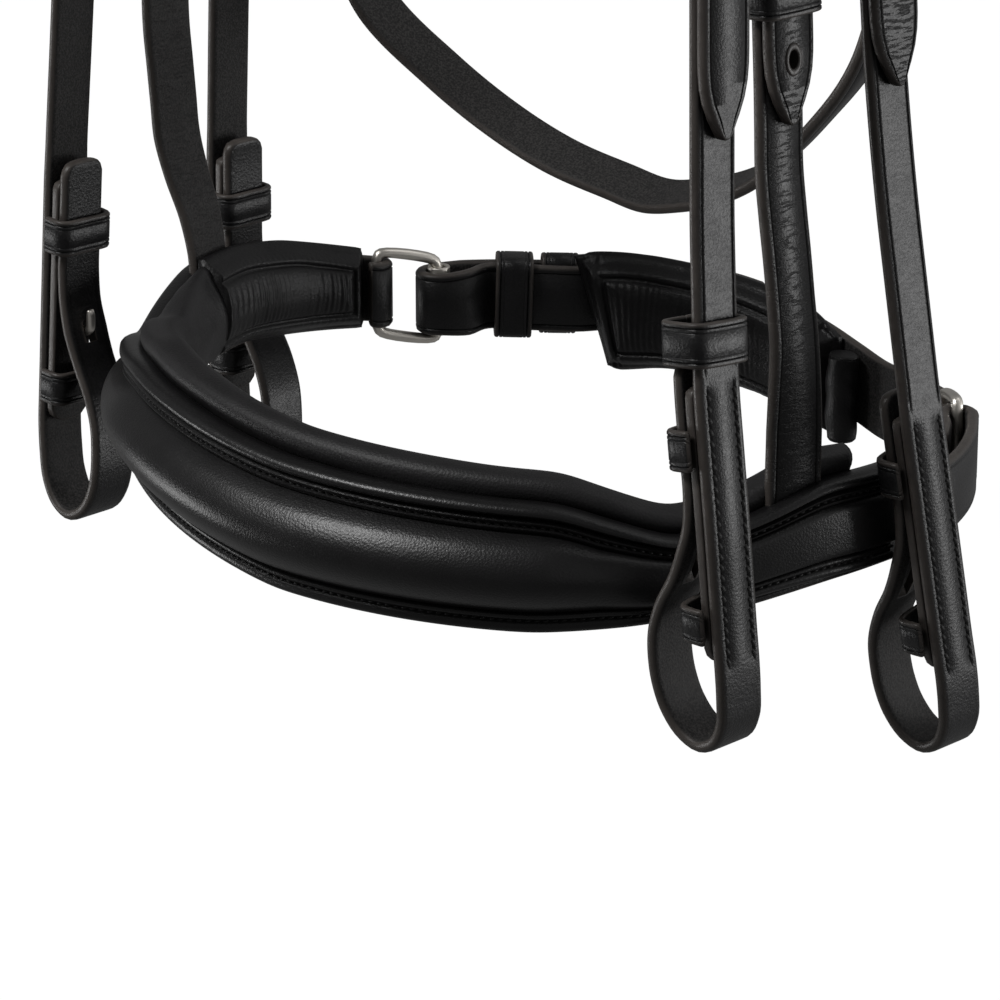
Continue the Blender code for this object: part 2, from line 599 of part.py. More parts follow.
def fold_rows(bar_angle, table, bar_out, radius, way, width, turns, thick=LEATHER_T):
    """Rows round an upright bar: way is the ring direction (+1 or -1) the fold bulges towards."""
    a = radians(bar_angle)
    normal = Vector((cos(a) / RING_X, sin(a) / RING_Y, 0)).normalized()
    ahead = Vector((-sin(a) * RING_X, cos(a) * RING_Y, 0)).normalized() * way
    center = ring_point(bar_angle, bar_out, value_at(table, bar_angle))
    return [(*(center + normal * radius * cos(radians(t)) + ahead * radius * sin(radians(t))), width, thick / 2,
             thick / 2) for t in turns]


def crank_frame(name, first, second, out, tall, z_first, z_second):
    """Wire rectangle standing along the ring between two upright bars."""
    points = [ring_point(first, out, z_first - tall / 2), ring_point(second, out, z_second - tall / 2),
              ring_point(second, out, z_second + tall / 2), ring_point(first, out, z_first + tall / 2)]
    soft = []
    for i, point in enumerate(points):
        before, after = points[i - 1], points[(i + 1) % 4]
        soft += [point + (before - point).normalized() * .0016, point + (after - point).normalized() * .0016]
    return wire(name, soft, FRAME_WIRE, True)


def roller(name, angle, out, radius, tall, z):
    """Loose tube round a frame's upright bar, turned from its wall profile."""
    bore = FRAME_WIRE + .00035
    profile = [(bore, tall / 2), (radius, tall / 2), (radius, -tall / 2), (bore, -tall / 2)]
    mesh = bpy.data.meshes.new(name)
    mesh.from_pydata([(r, 0, h) for r, h in profile], [(0, 1), (1, 2), (2, 3), (3, 0)], [])
    item = bpy.data.objects.new(name, mesh)
    PARTS.objects.link(item)
    turn = item.modifiers.new("turn", "SCREW")
    turn.steps = turn.render_steps = 20
    turn.use_merge_vertices = True
    turn.merge_threshold = 0.00005
    item.location = ring_point(angle, out, z)
    return finish(item, "metal", name)


def make_noseband():
    bend = FRAME_WIRE + CLEAR + LEATHER_T / 2
    off_bar, near_bar = OFF_BAR_FAR - 360, NEAR_BAR_FRONT
    tail = ring_rows([OFF_BAR_FAR - 360 + 3], STRAP_MID, -2 * bend, .0180)
    far_fold = fold_rows(off_bar, STRAP_MID, -bend, bend, -1, .0180, (180, 140, 100, 60, 20))
    body = ring_rows(list(range(-196, 38, 6)) + [39], STRAP_MID, 0, .0184)
    near_fold = fold_rows(near_bar, STRAP_MID, -bend, bend, 1, .0180, (20, 60, 100, 140, 180))
    near_tail = ring_rows((37, 31), STRAP_MID, -2 * bend, .0180)
    strap("noseband_strap", tail + far_fold + body + near_fold + near_tail, (0, 0, 1))
    swelled("nosepiece", -180, 0, 48, nose_section, "leather")
    swelled("nose_lining", -162.5, -5, 24, lining_section, "padding", 1)
    face = -LEATHER_T / 2 - CLEAR
    swelled("off_arm_pad", 166.5, 196.5, 8, pad_section(ARM_TOP, ARM_LOW, face, .0085), "padding", 1)
    crank_frame("off_crank_frame", OFF_BAR_FAR, OFF_BAR_NEAR, -bend, .0232, value_at(STRAP_MID, off_bar),
                value_at(BACK_MID, OFF_BAR_NEAR))
    crank_frame("near_crank_frame", NEAR_BAR_FRONT, NEAR_BAR_REAR, -bend, .0232, value_at(STRAP_MID, near_bar),
                value_at(BACK_MID, NEAR_BAR_REAR))
    roller("off_roller", OFF_BAR_NEAR, -bend, ROLLER_R, .0188, value_at(BACK_MID, OFF_BAR_NEAR))


def make_crank():
    bend = FRAME_WIRE + CLEAR + LEATHER_T / 2
    turn_r = ROLLER_R + CLEAR + LEATHER_T / 2
    jaw_out = 0.0
    tail = ring_rows((66, 62, 58), BACK_MID, -bend * 2, .0180)
    fold = fold_rows(NEAR_BAR_REAR, BACK_MID, -bend, bend, -1, .0180, (160, 120, 80, 40, 0))
    body = ring_rows([58, 64, 70] + list(range(76, 127, 6)), BACK_MID, jaw_out, JAW_W)
    strap("jaw_strap", tail + fold + body, (0, 0, 1))
    swelled("jaw_pad", 84, 128, 10, pad_section(JAW_TOP, JAW_LOW, -LEATHER_T / 2 - CLEAR, .0085), "padding", 1)
    lay = LEATHER_T + CLEAR
    inner = [(a, o) for a, o in CRANK_RUNS_INNER] + [(146.4, -bend - turn_r * .8)]
    outer = [(146.4, .0017)] + [(a, o) for a, o in CRANK_RUNS_OUTER[::-1]]
    rows = [(*ring_point(a, o, value_at(BACK_MID, a)), CRANK_W, LEATHER_T / 2, LEATHER_T / 2) for a, o in inner]
    rows += fold_rows(OFF_BAR_NEAR, BACK_MID, -bend, turn_r, 1, CRANK_FOLD_W, (180, 150, 120, 90, 60, 30, 0))
    rows += [(*ring_point(a, o, value_at(BACK_MID, a)), CRANK_W, LEATHER_T / 2, LEATHER_T / 2) for a, o in outer]
    strap("crank_strap", rows, (0, 0, 1))
    for name, angle in (("crank_runner", 138.6), ("crank_keeper", 132.0)):
        spots = []
        for at in (angle - 2.2, angle + 2.2):
            low, high = value_at(CRANK_RUNS_INNER, at), value_at(CRANK_RUNS_OUTER, at)
            spots.append(ring_point(at, (low + high) / 2, value_at(BACK_MID, at)))
        low, high = value_at(CRANK_RUNS_INNER, angle), value_at(CRANK_RUNS_OUTER, angle)
        ahead = (spots[1] - spots[0]).normalized()
        out = Vector((ahead.y, -ahead.x, 0)).normalized()
        half = (high - low) / 2 + LEATHER_T / 2 + 2 * CLEAR
        keeper(name, (spots[0] + spots[1]) / 2, out, ahead.cross(out), half, CRANK_W / 2 + 2 * CLEAR, .0100)


def make_throatlash():
    """Strap sewn inside both ends of the crown leather, hanging in a slack curve behind the cheeks."""
    rows = []
    for side, table in ((1, THROAT_NEAR), (-1, THROAT_OFF)):
        inside = arch_rows(side, .0170, None, -LEATHER_T - CLEAR, THROAT_W, .0665, CROWN_END + .002)
        half = list(inside)
        for x, y, z in smooth(table, 2)[:-1]:
            tilt = Vector((0, 1, .4 * min(1, max(0, (.40 - z) / .3)))).normalized()
            half.append((x * side, y, z + RING_LOW, THROAT_W, LEATHER_T / 2, LEATHER_T / 2, tilt))
        rows.append(half)
    x, y, z = THROAT_LOW
    bottom = (x, y, z + RING_LOW, THROAT_W, LEATHER_T / 2, LEATHER_T / 2, Vector((0, 1, .4)).normalized())
    strap("throatlash", rows[0] + [bottom] + rows[1][::-1], (0, 1, 0))


def make_browband():
    """Padded band across the forehead between two loops round the cheek points."""
    for side, name, table in ((1, "near", NEAR_CHEEK), (-1, "off", OFF_CHEEK)):
        down = arch_rows(side, POINT_Y[0], table, LEATHER_T + CLEAR, POINT_W, .0595)
        low = min(range(len(down)), key=lambda i: abs(down[i][2] - BROW_AT))
        here, after = Vector(down[low][:3]), Vector(down[low + 1][:3])
        share = (BROW_AT - here.z) / (after.z - here.z)
        way = (here - after).normalized()
        out = Vector((way.z, 0, -way.x)).normalized() * side
        wide = (Vector((0, 1, 0)) - way * way.y).normalized()
        keeper(name + "_brow_loop", here.lerp(after, share), out, wide, LEATHER_T / 2 + CLEAR,
               POINT_W / 2 + 3 * CLEAR, BROW_W)
    center = here.lerp(after, share)
    front = center.y - POINT_W / 2 - 3 * CLEAR - .0016 - .0024
    reach = abs(center.x)
    path = [(reach * sin(radians(a)), front - BROW_REACH * cos(radians(a)), BROW_AT - .008 * cos(radians(a)))
            for a in range(90, -91, -10)]
    rows = [(x, y, z, BROW_W * (1 - .12 * (abs(x) > reach * .97)), LEATHER_T * .8, LEATHER_T * .8) for x, y, z in path]
    strap("browband", rows, (0, 0, 1))


clear_scene()
PARTS = collection("bridle")
CUTTERS = collection("cutters")
make_sides(make_crown())
make_runners()
make_noseband()
make_crank()
make_throatlash()
make_browband()
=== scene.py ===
"""Dressed double-cheek padded bridle: stitched black leather with nickel fittings, hanging from its crown."""
from math import asin, atan2, ceil, cos, hypot, pi, radians, sin, sqrt

import bmesh
import bpy
import numpy as np
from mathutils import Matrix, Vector


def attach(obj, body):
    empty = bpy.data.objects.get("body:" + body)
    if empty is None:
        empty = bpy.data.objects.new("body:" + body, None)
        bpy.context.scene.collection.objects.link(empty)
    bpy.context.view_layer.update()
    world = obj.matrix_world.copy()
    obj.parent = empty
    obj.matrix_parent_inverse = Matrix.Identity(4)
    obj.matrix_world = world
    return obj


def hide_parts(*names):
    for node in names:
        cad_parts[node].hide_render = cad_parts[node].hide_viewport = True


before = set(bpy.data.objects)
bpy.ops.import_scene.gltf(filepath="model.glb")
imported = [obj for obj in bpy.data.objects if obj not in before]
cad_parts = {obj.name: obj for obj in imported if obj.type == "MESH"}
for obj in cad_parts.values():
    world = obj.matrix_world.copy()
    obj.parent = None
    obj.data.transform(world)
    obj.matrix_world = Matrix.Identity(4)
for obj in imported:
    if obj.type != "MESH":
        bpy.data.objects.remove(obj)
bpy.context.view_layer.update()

# Sizes that the straps share, metres
LEATHER_T = .0030
CLEAR = .0003
CHEEK_W = .0130
HANGER_W = .0144
POINT_W = .0150
BILLET_W = .0134
RETURN_W = .0128
BILLET_LEN = .0955
LINING_T = .0025
CROWN_W = .0552
RING_X, RING_Y = .1060, .0990
RING_SHIFT = (.0025, .0025)
RING_LOW = -.5250
JAW_W = .0210
CRANK_W = .0182
CRANK_FOLD_W = .0170
WIRE = .0013
FRAME_WIRE = .0014
ROLLER_R = .0030
CREASE_IN = .0019           # crease line, in from a strap's edge
STITCH_IN = .0025           # stitch row, in from a billet's edge
STITCH_PITCH = .0025
CROWN_STITCH_IN = .0044
BROW_STITCH_IN = .0036
BAND_CREASES = ((.0013, .00030, .00025), (.0023, .00014, .0002))
TONGUE_HOLES = (.0860, .1040, .1220)    # back from a point's tip
FOLD_W = .0180              # noseband and jaw strap where they turn round a bar
PAD_EDGE = .0016            # a pad's thickness at its edge
RING_STEP = radians(1) * .1025          # way along the noseband in one degree
PALE_MIRRORED = .15         # share of the pale background that reflections see

CAMERA_AT = (.79029, -.80443, -.11458)
LOOK_AT = (-.00707, -.00707, -.52500)
LENS = 172.8


def eased(table, reach):
    """A table of (place, value...) rows read closely, its bends rounded over reach."""
    rows = sorted(table)
    places = np.array([row[0] for row in rows], float)
    values = np.array([row[1:] for row in rows], float)
    grid = np.linspace(places[0] - reach, places[-1] + reach, 500)
    dense = np.stack([np.interp(grid, places, column) for column in values.T], 1)
    weights = np.exp(-(((grid[:, None] - grid[None]) / (reach / 2)) ** 2) / 2)
    return grid, (weights / weights.sum(1, keepdims=True)) @ dense


def value_at(table, at):
    grid, values = table
    found = [np.interp(at, grid, column) for column in values.T]
    return found if len(found) > 1 else found[0]


# Heights over RING_LOW by angle round the noseband, 0 at the near side, -90 at the front
NOSE_TOP = eased(((-180, .0440), (-165, .0440), (-149, .0345), (-138, .0400), (-120, .0440), (-105, .0425),
                  (-85, .0390), (-58, .0370), (-47, .0362), (-40, .0320), (-32, .0272), (-22, .0310),
                  (-12, .0370), (0, .0365)), 4)
NOSE_LOW = eased(((-180, .0205), (-160, .0205), (-140, .0175), (-120, .0145), (-104, .0110), (-85, .0068),
                  (-50, .0060), (-36, .0080), (-20, .0128), (-12, .0140), (0, .0135)), 4)
STRAP_MID = eased(((-208, .0215), (-200, .0255), (-190, .0290), (-180, .0290), (-165, .0272), (-150, .0255),
                   (-120, .0240), (-90, .0190), (-50, .0165), (-30, .0165), (-12, .0205), (0, .0210),
                   (20, .0190), (44, .0175)), 4)
ARM_TOP = eased(((154, .0345), (167, .0402), (178, .0452), (190, .0480), (208, .0470)), 4)
ARM_LOW = eased(((154, .0150), (167, .0172), (178, .0190), (190, .0210), (208, .0190)), 4)
JAW_TOP = eased(((82, .0215), (90, .0290), (100, .0325), (109, .0340), (120, .0355), (130, .0330)), 4)
JAW_LOW = eased(((82, -.0040), (90, -.0015), (100, .0017), (114, .0042), (122, .0030), (132, .0032)), 4)
BACK_MID = eased(((44, .0170), (60, .0110), (77, .0090), (90, .0150), (104, .0205), (111, .0215), (125, .0205),
                  (139, .0215), (152, .0220), (162, .0225)), 4)
CRANK_LAY = LEATHER_T + CLEAR
CRANK_INNER = eased(((100, CRANK_LAY), (124.3, CRANK_LAY), (126.8, .0012), (128.6, -.0010), (130.5, -.0021),
                     (135.5, -.0021), (138.6, -.0014), (143, -.0016)), 1.5)
CRANK_OUTER = eased(((102, CRANK_LAY * 2), (124, CRANK_LAY * 2), (128.5, .0044), (135, .0025), (143, .0018)), 1.5)
OFF_BAR_FAR, OFF_BAR_NEAR = 161.0, 150.4
NEAR_BAR_FRONT, NEAR_BAR_REAR = 43.0, 54.0

# Side straps: height over RING_LOW, x out from the middle, y
NEAR_CHEEK = eased(((.1900, .1052, -.0550), (.1600, .1076, -.0570), (.1100, .1130, -.0618),
                    (.0740, .1180, -.0652), (.0450, .1225, -.0660), (.0066, .1230, -.0620),
                    (-.0200, .1230, -.0565)), .008)
OFF_CHEEK = eased(((.1900, .1052, -.0530), (.1160, .1140, -.0515), (.0780, .1200, -.0500), (.0100, .1240, -.0515),
                   (-.0250, .1240, -.0535)), .008)
NEAR_BRADOON = eased(((.1900, .1068, -.0045), (.1330, .1130, -.0050), (.1060, .1165, -.0045),
                      (.0560, .1245, -.0030), (-.0100, .1270, .0095), (-.0420, .1270, .0180)), .008)
OFF_BRADOON = eased(((.1900, .1060, -.0020), (.1080, .1170, .0035), (.0650, .1262, .0100),
                     (-.0350, .1270, .0095)), .008)
NEAR_HANGER = eased(((.1900, .0985, -.0285), (.1300, .1028, -.0294), (.1120, .1040, -.0300),
                     (.0900, .1060, -.0284), (.0700, .1068, -.0264), (.0470, .1050, -.0240),
                     (.0380, .1046, -.0238), (.0308, .1046, -.0238)), .006)
OFF_HANGER = eased(((.1900, .0985, -.0310), (.1130, .1043, -.0295), (.0750, .1068, -.0240), (.0540, .1020, -.0200),
                    (.0450, .1007, -.0200), (.0374, .1007, -.0200)), .006)
SIDES = {"near_cheek": (NEAR_CHEEK, 1), "off_cheek": (OFF_CHEEK, -1), "near_bradoon": (NEAR_BRADOON, 1),
         "near_hanger": (NEAR_HANGER, 1)}
TIP_AT = {"near_cheek": .0800, "off_cheek": .0760, "near_bradoon": .0590, "off_bradoon": .0690}
# The crown's arch: x out from the middle, z
ARCH = ((0, .0105), (.028, .0105), (.045, .0070), (.058, -.0020), (.068, -.0160), (.076, -.0360), (.083, -.0650),
        (.089, -.1100), (.0935, -.1700), (.0980, -.2500), (.1020, -.3150))
POINT_Y = (-.0195, 0, .0175)
CROWN_END = -.0580
THROAT_W = .0130
# The throatlash: x out, y, height over RING_LOW
THROAT_NEAR = ((.0815, .0180, .4450), (.0870, .0240, .3500), (.0900, .0290, .2400), (.0850, .0330, .1600),
               (.0730, .0360, .1215), (.0540, .0400, .1000), (.0320, .0436, .0815), (.0080, .0450, .0715))
THROAT_OFF = ((.0815, .0180, .4450), (.0900, .0200, .3500), (.0960, .0230, .2400), (.0970, .0260, .1500),
              (.0900, .0290, .1080), (.0720, .0370, .0900), (.0550, .0410, .0800), (.0360, .0430, .0735),
              (.0160, .0440, .0705))
THROAT_LOW = (-.0040, .0450, .0690)
BROW_AT = -.1150
BROW_W = .0200
BROW_REACH = .0620
BUCKLE_AT = -.3370
POINT_TIP = -.3955
POINT_TOP = BUCKLE_AT + .0180
OFF_START = ARCH[-1][1] - RING_LOW - .0200
BELOW_BUCKLE = BUCKLE_AT - RING_LOW - .0130
HANGER_END = (.0309, .0375)
POINT_DROPS = {"near_cheek": .0020, "near_hanger": .0060, "near_bradoon": 0, "off_cheek": .0020}
# Round the bit loop: (outward, share of BILLET_LEN below the tip)
LOOP = ((-.0006, .830), (-.0020, .905), (-.0055, .962), (-.0104, .9843), (-.0153, .965), (-.0190, .915),
        (-.0207, .850), (-.0209, .780), (-.0202, .710), (-.0172, .625), (-.0128, .550), (-.0092, .470))
RETURN_OUT = LEATHER_T + LINING_T + 2 * CLEAR
LINING_AT = (.060, .745)    # shares of BILLET_LEN that the inner layer covers


# Finishes --------------------

class Value:
    """A number that changes over a surface. An expression on it adds Math nodes."""

    def __init__(self, finish, socket):
        self.finish, self.socket = finish, socket

    def worked(self, kind, first, second=None):
        node = self.finish.tree.nodes.new("ShaderNodeMath")
        node.operation = kind
        for socket, value in zip(node.inputs, (first, second)):
            if value is not None:
                self.finish.feed(socket, value)
        return Value(self.finish, node.outputs[0])

    def __add__(self, other): return self.worked("ADD", self, other)
    def __radd__(self, other): return self.worked("ADD", other, self)
    def __sub__(self, other): return self.worked("SUBTRACT", self, other)
    def __rsub__(self, other): return self.worked("SUBTRACT", other, self)
    def __mul__(self, other): return self.worked("MULTIPLY", self, other)
    def __rmul__(self, other): return self.worked("MULTIPLY", other, self)
    def __pow__(self, other): return self.worked("POWER", self, other)
    def __abs__(self): return self.worked("ABSOLUTE", self)


class Nodes:
    """Makes the nodes of one node tree."""

    def __init__(self, tree):
        self.tree = tree

    def feed(self, socket, value):
        if isinstance(value, Value):
            self.tree.links.new(value.socket, socket)
        else:
            socket.default_value = value

    def node(self, kind, settings=None, sockets=None, output=0):
        node = self.tree.nodes.new(kind)
        for key, value in (settings or {}).items():
            setattr(node, key, value)
        for key, value in (sockets or {}).items():
            self.feed(node.inputs[key], value)
        return Value(self, node.outputs[output])

    def place(self):
        return self.node("ShaderNodeTexCoord", output="Object")

    def noise(self, scale, detail=3, rough=.55, vector=None):
        return self.node("ShaderNodeTexNoise", sockets={
            "Vector": vector or self.place(), "Scale": scale, "Detail": detail, "Roughness": rough})

    def cells(self, scale, vector=None):
        return self.node("ShaderNodeTexVoronoi", {"feature": "F1"}, {
            "Vector": vector or self.place(), "Scale": scale}, output="Distance")

    def step(self, value, low, high):
        """0 below low, 1 above high, eased between."""
        return self.node("ShaderNodeMapRange", {"interpolation_type": "SMOOTHSTEP"}, {
            "Value": value, "From Min": low, "From Max": high})

    def blend(self, share, first, second):
        node = self.tree.nodes.new("ShaderNodeMix")
        node.data_type = "RGBA"
        for socket, value in ((node.inputs[0], share), (node.inputs[6], first), (node.inputs[7], second)):
            self.feed(socket, value if isinstance(value, (Value, float, int)) else (*value, 1))
        return Value(self, node.outputs[2])

    def pale(self, mirrored):
        """1 where the camera looks straight or through glass, and a share of that in reflections."""
        straight, through, glossy = (self.node("ShaderNodeLightPath", output=ray) for ray in (
            "Is Camera Ray", "Is Transmission Ray", "Is Glossy Ray"))
        seen = straight
        for other in (through, glossy * mirrored):
            seen = seen.worked("MAXIMUM", seen, other)
        return seen


class Finish(Nodes):
    """One material and the nodes that make it."""

    def __init__(self, name):
        self.material = bpy.data.materials.new(name)
        self.material.use_nodes = True
        super().__init__(self.material.node_tree)
        self.shader = self.tree.nodes["Principled BSDF"]

    def bump(self, height, strength, depth):
        self.feed(self.shader.inputs["Normal"], self.node("ShaderNodeBump", sockets={
            "Height": height, "Strength": strength, "Distance": depth}))

    def put(self, **sockets):
        for key, value in sockets.items():
            self.feed(self.shader.inputs[key.replace("_", " ")], value)
        return self.material


def strap_leather(name, wrinkled=.10, reach=0, crease=CREASE_IN, half=.00040):
    """Satin black strap leather: burnished grey-brown edges, lightened partly as a painted highlight, painted shade in
    its creases and wrinkles, a fibrous flesh side.
    wrinkled is how deep its cross wrinkles are and how dark their painted shade is, within reach of the strap's start
    where one is given."""
    f = Finish(name)
    lay = f.node("ShaderNodeAttribute", {"attribute_name": "lay"}, output="Vector")
    along, edge, face = (f.node("ShaderNodeSeparateXYZ", sockets={"Vector": lay}, output=axis) for axis in "XYZ")
    mottle = f.noise(210, 5, .62)
    pebble = f.cells(1500)
    fine = f.noise(1900, 3)
    width = f.node("ShaderNodeSeparateXYZ", sockets={"Vector": f.place()}, output="Y")
    across = f.node("ShaderNodeCombineXYZ", sockets={"X": along * 1250, "Y": width * 210, "Z": face * 100})
    shaded_wrinkles = f.step(f.noise(1, 5, .65, across), .50, .66)
    if reach:
        shaded_wrinkles = shaded_wrinkles * (1 - f.step(along, reach * .75, reach))
    soft = f.step(f.noise(26, 2), .35, .7)
    rim = 1 - f.step(edge + (mottle - .5) * .0009, .00015, .00120)
    grain = f.step(face, .0004, .0011)
    line = f.step(edge, crease - half, crease - half / 5) * (1 - f.step(edge, crease + half / 5, crease + half)) * grain
    flesh = 1 - f.step(face, -.00128, -.00095)
    speck = f.step(fine, .38, .66)
    skin = f.blend(mottle * .4 + soft * .3 + speck * .3, (.0026, .0025, .0027), (.0090, .0088, .0094))
    # Painted shade: the wrinkle troughs are darkened towards black.
    skin = f.blend(shaded_wrinkles * min(1, wrinkled) * .8, skin, (.0016, .0016, .0016))
    # Edge colour: the cut edges' burnished grey-brown, partly real and partly a painted highlight that lightens every
    # edge.
    skin = f.blend(rim * (.25 + mottle * .75), skin, (.0680, .0590, .0530))
    # Painted shade: the crease groove is darkened along its line.
    skin = f.blend(line * .9, skin, (.0008, .0008, .0008))
    skin = f.blend(flesh * (1 - rim), skin, f.blend(speck, (.0060, .0057, .0057), (.0300, .0284, .0276)))
    f.bump((pebble * .34 + fine * .26 - shaded_wrinkles * wrinkled) * (1 - rim * .7) + flesh * fine * .6 + mottle * rim * .8,
           .44, .00034)
    return f.put(Base_Color=skin, Specular_IOR_Level=.22,
                 Roughness=.32 + mottle * .12 + speck * .07 + flesh * .30 + shaded_wrinkles * wrinkled * .08)


def soft_leather(name, grain, wrinkled, depth, rough, gloss, tone=1):
    """Thin supple leather over padding: pebbled and lightly creased."""
    f = Finish(name)
    mottle = f.noise(120, 4, .6)
    pebble = f.cells(grain)
    fine = f.noise(grain * 2.6, 2)
    folds = f.noise(150, 3, .5, f.node("ShaderNodeVectorMath", {"operation": "MULTIPLY"}, {
        0: f.place(), 1: (3.4, 3.4, .7)}))
    dark, pale = (tuple(tone * part for part in shade) for shade in (
        (.0026, .0025, .0027), (.0066, .0063, .0066)))
    skin = f.blend(mottle, dark, pale)
    f.bump(pebble * .5 + fine * .2 + folds * wrinkled, .42, depth)
    return f.put(Base_Color=skin, Roughness=rough + mottle * .10, Specular_IOR_Level=gloss)


def waxed_thread(name):
    f = Finish(name)
    twist = f.noise(5200, 2, .5)
    f.bump(twist, .5, .00012)
    return f.put(Base_Color=f.blend(twist, (.0018, .0018, .0018), (.0070, .0066, .0066)),
                 Roughness=.50 + twist * .15, Specular_IOR_Level=.20)


def brushed_nickel(name):
    f = Finish(name)
    strokes = f.noise(900, 3, .6, f.node("ShaderNodeVectorMath", {"operation": "MULTIPLY"}, {
        0: f.place(), 1: (1, 1, 6)}))
    cloud = f.noise(90, 3)
    f.bump(strokes, .16, .00008)
    return f.put(Base_Color=f.blend(cloud, (.640, .610, .560), (.500, .475, .435)), Metallic=1.0,
                 Roughness=.26 + strokes * .18 + cloud * .06)


LEATHER = strap_leather("strap_leather")
SHADED_WRINKLE_LEATHER = strap_leather("creased_strap_leather_painted_shade", .62)
TIP_SHADED_WRINKLE_LEATHER = strap_leather("creased_point_leather_painted_shade", .85, .034)
BAND = strap_leather("band_leather", .10, 0, .0013)
BILLET = strap_leather("billet_leather", .10, 0, .0021, .00060)
SWELL = soft_leather("nosepiece_leather", 1700, .10, .00020, .30, .28)
LINING = soft_leather("lining_leather", 1500, .10, .00030, .47, .24, 1.9)
PAD = soft_leather("pad_leather", 1400, .35, .00030, .38, .17)
THREAD = waxed_thread("waxed_thread")
NICKEL = brushed_nickel("brushed_nickel")


# Working on one piece --------------------

def only(item):
    bpy.ops.object.select_all(action="DESELECT")
    item.select_set(True)
    bpy.context.view_layer.objects.active = item


def edit_mode(on):
    bpy.ops.object.mode_set(mode="EDIT" if on else "OBJECT")


def face_outward():
    """In edit mode, turns every face of a closed shell outward."""
    bpy.ops.mesh.select_all(action="SELECT")
    bpy.ops.mesh.normals_make_consistent(inside=False)


def choose(item, kind, test):
    """In edit mode, selects the verts, edges or faces that pass the test."""
    bpy.ops.mesh.select_mode(type=kind)
    bpy.ops.mesh.select_all(action="DESELECT")
    work = bmesh.from_edit_mesh(item.data)
    for spot in {"VERT": work.verts, "EDGE": work.edges, "FACE": work.faces}[kind]:
        if test(spot):
            spot.select_set(True)
    bmesh.update_edit_mesh(item.data)


def fresh(name):
    """The object just added, named."""
    item = bpy.context.object
    item.name = item.data.name = name
    return item


def apply_new(item, kind, **settings):
    """Adds one modifier to the active piece, sets it and applies it."""
    bpy.ops.object.modifier_add(type=kind)
    made = item.modifiers[-1]
    for key, value in settings.items():
        setattr(made, key, value)
    bpy.ops.object.modifier_apply(modifier=made.name)


def points_of(item):
    found = np.empty(len(item.data.vertices) * 3)
    item.data.vertices.foreach_get("co", found)
    return found.reshape(-1, 3)


def normals_of(item):
    found = np.empty(len(item.data.vertices) * 3)
    item.data.vertices.foreach_get("normal", found)
    return found.reshape(-1, 3)


def set_points(item, found):
    item.data.vertices.foreach_set("co", np.ascontiguousarray(found).ravel())
    item.data.update()


def note(item, name, values):
    item.data.attributes.new(name, "FLOAT_VECTOR", "POINT").data.foreach_set(
        "vector", np.ascontiguousarray(values).ravel())


def smooth_shade(item, angle=50):
    only(item)
    bpy.ops.object.shade_smooth_by_angle(angle=radians(angle))


def dress(item, finish, nodes=(), body="bridle"):
    item.data.materials.clear()
    item.data.materials.append(finish)
    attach(item, body)
    if nodes:
        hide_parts(*nodes)
    return item


def cut_away(item, cutter):
    """Cuts a shape out of a piece for good."""
    only(item)
    gap = item.modifiers.new("gap", "BOOLEAN")
    gap.operation, gap.solver, gap.object = "DIFFERENCE", "EXACT", cutter
    bpy.ops.object.modifier_apply(modifier="gap")
    bpy.data.objects.remove(cutter, do_unlink=True)


# Routes and the straps laid on them --------------------

class Route:
    """A smooth path through rows of (x, y, z, width, own width axis), with its outer side and width axis."""

    def __init__(self, rows, across=(0, 1, 0), closed=False):
        rows = list(rows) + ([rows[0]] if closed else [])
        spots = np.array([row[:3] for row in rows], float)
        widths = np.array([row[3] for row in rows], float)
        axes = np.array([row[4] if len(row) > 4 else across for row in rows], float)
        gaps = np.linalg.norm(np.diff(spots, axis=0), axis=1)
        ways = np.diff(spots, axis=0) / gaps[:, None]
        turns = [ways[0]]
        for i in range(1, len(spots) - 1):
            turns.append((gaps[i] * ways[i - 1] + gaps[i - 1] * ways[i]) / (gaps[i] + gaps[i - 1]))
        turns.append(ways[-1])
        if closed:
            turns[0] = turns[-1] = (gaps[0] * ways[-1] + gaps[-1] * ways[0]) / (gaps[0] + gaps[-1])
        line, wide, axis = [], [], []
        for i, gap in enumerate(gaps):
            for t in np.linspace(0, 1, max(3, ceil(gap / .0004)), endpoint=False):
                a, b, c, d = 2 * t**3 - 3 * t**2 + 1, t**3 - 2 * t**2 + t, -2 * t**3 + 3 * t**2, t**3 - t**2
                line.append(a * spots[i] + b * gap * turns[i] + c * spots[i + 1] + d * gap * turns[i + 1])
                wide.append(widths[i] + (widths[i + 1] - widths[i]) * t)
                axis.append(axes[i] + (axes[i + 1] - axes[i]) * t)
        line.append(spots[-1])
        wide.append(widths[-1])
        axis.append(axes[-1])
        line, axis = np.array(line), np.array(axis)
        steps = np.linalg.norm(np.diff(line, axis=0), axis=1)
        self.at = np.concatenate([[0], np.cumsum(steps)])
        self.length = self.at[-1]
        way = np.gradient(line, axis=0)
        if closed:
            way[0] = way[-1] = line[1] - line[-2]
        axis /= np.linalg.norm(axis, axis=1, keepdims=True)
        way -= axis * (axis * way).sum(1, keepdims=True)
        way /= np.linalg.norm(way, axis=1, keepdims=True)
        self.line, self.wide, self.axis, self.out = line, np.array(wide), axis, np.cross(way, axis)

    def width(self, s):
        return np.interp(s, self.at, self.wide)

    def place(self, s, across, out):
        def read(table):
            return np.stack([np.interp(s, self.at, column) for column in table.T], -1)
        return read(self.line) + read(self.axis) * np.asarray(across)[..., None] + \
            read(self.out) * np.asarray(out)[..., None]

    def spot(self, s, out=0.0):
        return self.place(np.array([s]), np.array([0.0]), np.array([out]))[0]

    def nearest(self, spot):
        return self.at[np.argmin(np.linalg.norm(self.line - np.array(spot), axis=1))]


def runs_long(edge):
    a, b = (vert.co for vert in edge.verts)
    return abs(a.x - b.x) > .9 * (a - b).length


